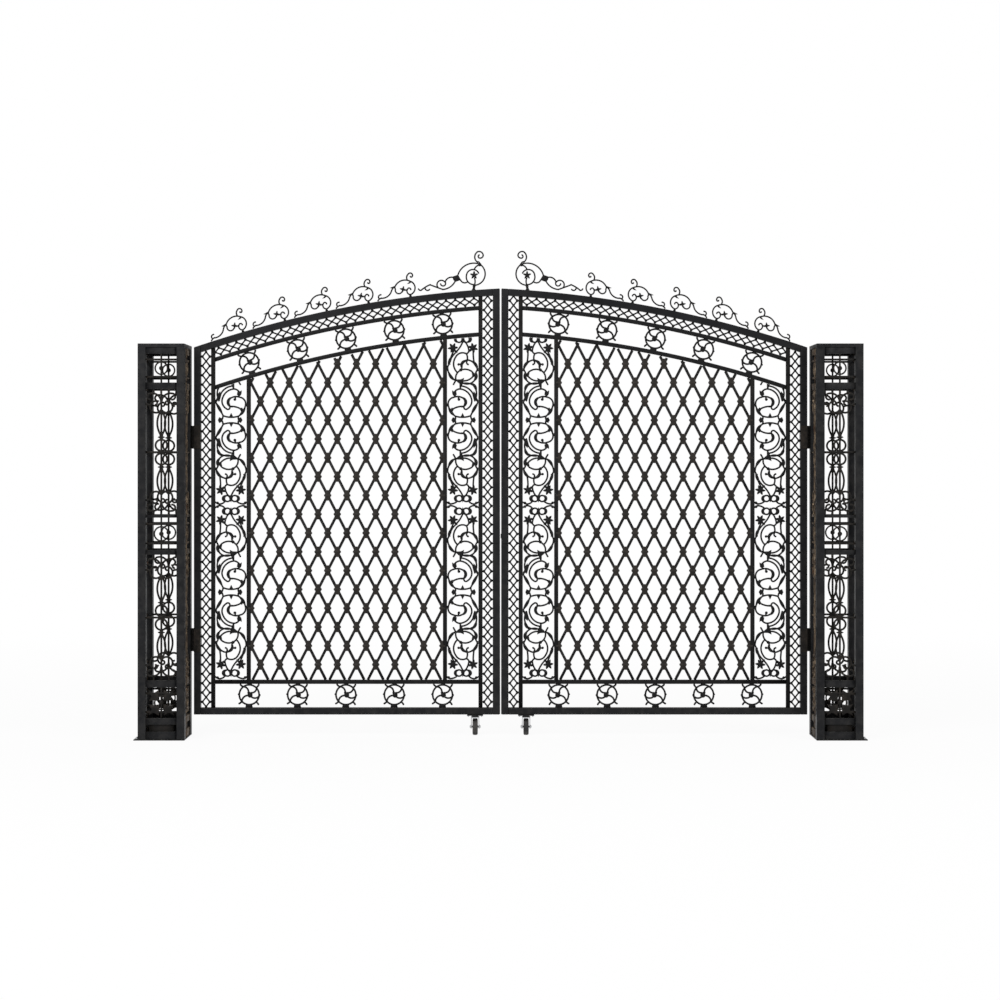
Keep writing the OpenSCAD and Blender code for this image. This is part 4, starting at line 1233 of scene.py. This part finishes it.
# %% Caster wheels
AXLE_R = 6.1
WHEEL_PROFILE = [
    (AXLE_R, 16), (13, 16), (14, 15), (14, 11), (34, 10), (36, 12), (38, 14.5), (43, 15.5), (47, 13.5),
    (49.4, 10), (49.9, 7), (48.6, 6.5), (48.6, 5.5), (50, 5), (50, 0),
]
WHEEL_STEPS = round_points(48)


def centre_of(name):
    """The middle of a CAD node's box, in millimetres."""
    low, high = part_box(name)
    return (low + high) / 2 / MM


def spin_profile(bm, profile, centre):
    """Turns a profile of (radius, half width) round an axle along X, the same on both sides."""
    whole = profile + [(r, -w) for r, w in reversed(profile) if w]
    rings = []
    for c, s in WHEEL_STEPS:
        rings.append(dots(bm, [(centre[0] + w, centre[1] + r * c, centre[2] + r * s) for r, w in whole]))
    skin(bm, rings + rings[:1])


for side in ("left", "right"):
    bm = bmesh.new()
    spin_profile(bm, WHEEL_PROFILE, centre_of(side + "_caster_wheel"))
    mesh = finish_mesh(bm, side + " tyre")
    make_piece(side + "_tyre", mesh, side + "_caster_wheel", rubber, [side + "_caster_wheel"])
print("tyre:", counts["left_tyre"], "triangles")

# %% [markdown]
# ## Bolts
#
# The base plates are bolted down on their outer lips, the caster plates to the bottom rails, and the axles
# end in nuts. A bolt is a washer, a six-sided head and the end of its thread, drawn upright and turned into
# place.

# %% Bolt drawing


def bolt(bm, place, across, height):
    """A washer, a chamfered hexagon head and a thread end, standing on the plane through place's origin."""
    r = across / 2 / cos(radians(30))
    for radius, low, high, count in ((1.05 * across, 0, 0.16, 24), (r, 0.16, 0.8, 6), (0.86 * r, 0.8, 0.95, 6),
                                     (0.45 * r, 0.95, 1, 12)):
        rings = []
        for share in (low, high):
            spots = [Vector((radius * c, radius * s, share * height)) for c, s in round_points(count)]
            rings.append(dots(bm, [place @ spot for spot in spots]))
        skin(bm, rings)
        bm.faces.new(rings[1])


def bolts(name, places, across, height, body):
    bm = bmesh.new()
    for place in places:
        bolt(bm, place, across, height)
    make_piece(name, finish_mesh(bm, name, smooth=False), body, zinc)


def stand(spot, turn=0, axis="X"):
    """A place at a spot, turned from upright by some degrees."""
    return Matrix.Translation(spot) @ Matrix.Rotation(radians(turn), 4, axis)


# %% Bolts in place
CASTER_PLATE_T = 6
BASE_LIP = 12.5
BASE_BOLT_Y = 95
PLATE_BOLT_IN = 8
PLATE_BOLT_Y = 24
for side, sign, post_x in (("left", -1, 0), ("right", 1, RIGHT_POST_X)):
    lip = post_x + sign * (POST_W / 2 + BASE_LIP)
    feet = [stand((lip, y, BASE_T)) for y in (-BASE_BOLT_Y, BASE_BOLT_Y)]
    bolts(side + "_base_bolts", feet, across=11, height=11, body="posts")
    low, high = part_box(side + "_caster_plate")
    under = high.z / MM - CASTER_PLATE_T
    heads = []
    for x in (low.x / MM + PLATE_BOLT_IN, high.x / MM - PLATE_BOLT_IN):
        heads += [stand((x, LEAF_SET + y, under), 180) for y in (-PLATE_BOLT_Y, PLATE_BOLT_Y)]
    bolts(side + "_caster_bolts", heads, across=8, height=6, body=side + "_leaf")
    low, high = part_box(side + "_caster_fork")
    axle = centre_of(side + "_caster_wheel")
    nuts = [stand((x / MM, axle.y, axle.z), turn, "Y") for x, turn in ((high.x, 90), (low.x, -90))]
    bolts(side + "_axle_nuts", nuts, across=13, height=8, body=side + "_caster_fork")
print("bolts on the base plates, caster plates and axles")

# %% [markdown]
# ## Floor, light and camera
#
# The gate stands on a plain pale floor in front of white. A black object needs broad light more than strong
# light: the sky is even, and two large soft lamps shape the front. The floor and the sky are shown as white
# to the camera and to reflections, while the light they give stays at a plain level and the floor keeps the
# gate's shadow.

# %% Floor
floor_mesh = bpy.data.meshes.new("floor")
floor_mesh.from_pydata([(-60, -40, 0), (64, -40, 0), (64, 90, 0), (-60, 90, 0)], [], [(0, 1, 2, 3)])
put("floor", floor_mesh)
floor_paint, tree, shader = start_material("pale floor")
shader.inputs["Base Color"].default_value = (0.86, 0.86, 0.86, 1)
shader.inputs["Roughness"].default_value = 0.9
rays = add(tree, "LightPath").outputs
seen = add_math(tree, "MAXIMUM", rays["Is Camera Ray"], rays["Is Glossy Ray"])
split = add(tree, "SeparateXYZ")
feed(tree, split.inputs[0], add(tree, "TexCoord").outputs["Object"])
away = add_range(tree, add_math(tree, "ABSOLUTE", split.outputs["Y"], 0.0), 1.0, 7.0)
blend = add(tree, "MixShader")
feed(tree, blend.inputs["Fac"], add_math(tree, "MULTIPLY", seen, layered(tree, "FLOAT", 0.93, (away, 1.0))))
feed(tree, blend.inputs[1], shader.outputs[0])
feed(tree, blend.inputs[2], add(tree, "Emission").outputs[0])
feed(tree, tree.nodes["Material Output"].inputs["Surface"], blend.outputs[0])
floor_mesh.materials.append(floor_paint)
print("floor ready:", floor_paint.name)

# %% Sky
world = bpy.data.worlds.new("studio")
bpy.context.scene.world = world
world.use_nodes = True
tree = world.node_tree
backdrop = tree.nodes["Background"].inputs
backdrop["Color"].default_value = (1, 1, 1, 1)
rays = add(tree, "LightPath").outputs
seen = add_math(tree, "MAXIMUM", rays["Is Camera Ray"], rays["Is Transmission Ray"])
feed(tree, backdrop["Strength"], layered(tree, "FLOAT", 0.55, (seen, 1.0)))
print("sky ready:", world.name)

# %% Lamps
LAMP_TARGET = Vector((2.0, 0.0, 1.2))


def soft_lamp(name, location, width, height, watts):
    lamp = bpy.data.lights.new(name, "AREA")
    lamp.shape = "RECTANGLE"
    lamp.size = width
    lamp.size_y = height
    lamp.energy = watts
    holder = put(name, lamp)
    holder.location = location
    holder.rotation_euler = (LAMP_TARGET - Vector(location)).to_track_quat("-Z", "Y").to_euler()


soft_lamp("front lamp", (-3.0, -8.0, 7.0), width=6.0, height=4.0, watts=620)
soft_lamp("side lamp", (8.0, -4.0, 4.5), width=3.0, height=3.0, watts=160)
print("two soft lamps")

# %% [markdown]
# The camera stands about eleven metres in front of the posts at eye height. It looks straight ahead, so that
# the posts stay upright in the picture, and a small shift of the lens puts the horizon where it belongs.

# %% Camera
EYE = (1.999, -11.5, 1.6)
FOCAL_PX = 1930.5
HORIZON_PX = 468.8
MIDDLE_PX = 500.6
IMAGE_PX = 1000.0
SENSOR = 36.0
camera_data = bpy.data.cameras.new("camera")
camera_data.sensor_width = SENSOR
camera_data.lens = SENSOR * FOCAL_PX / IMAGE_PX
camera_data.shift_x = (IMAGE_PX / 2 - MIDDLE_PX) / IMAGE_PX
camera_data.shift_y = (HORIZON_PX - IMAGE_PX / 2) / IMAGE_PX
camera = put("camera", camera_data)
camera.location = EYE
camera.rotation_euler = (pi / 2, 0, 0)
bpy.context.scene.camera = camera
bpy.context.scene.view_settings.view_transform = "Standard"
print("camera with a lens of", round(camera_data.lens, 1), "mm")

print("added", sum(counts.values()), "triangles in", len(counts), "pieces")
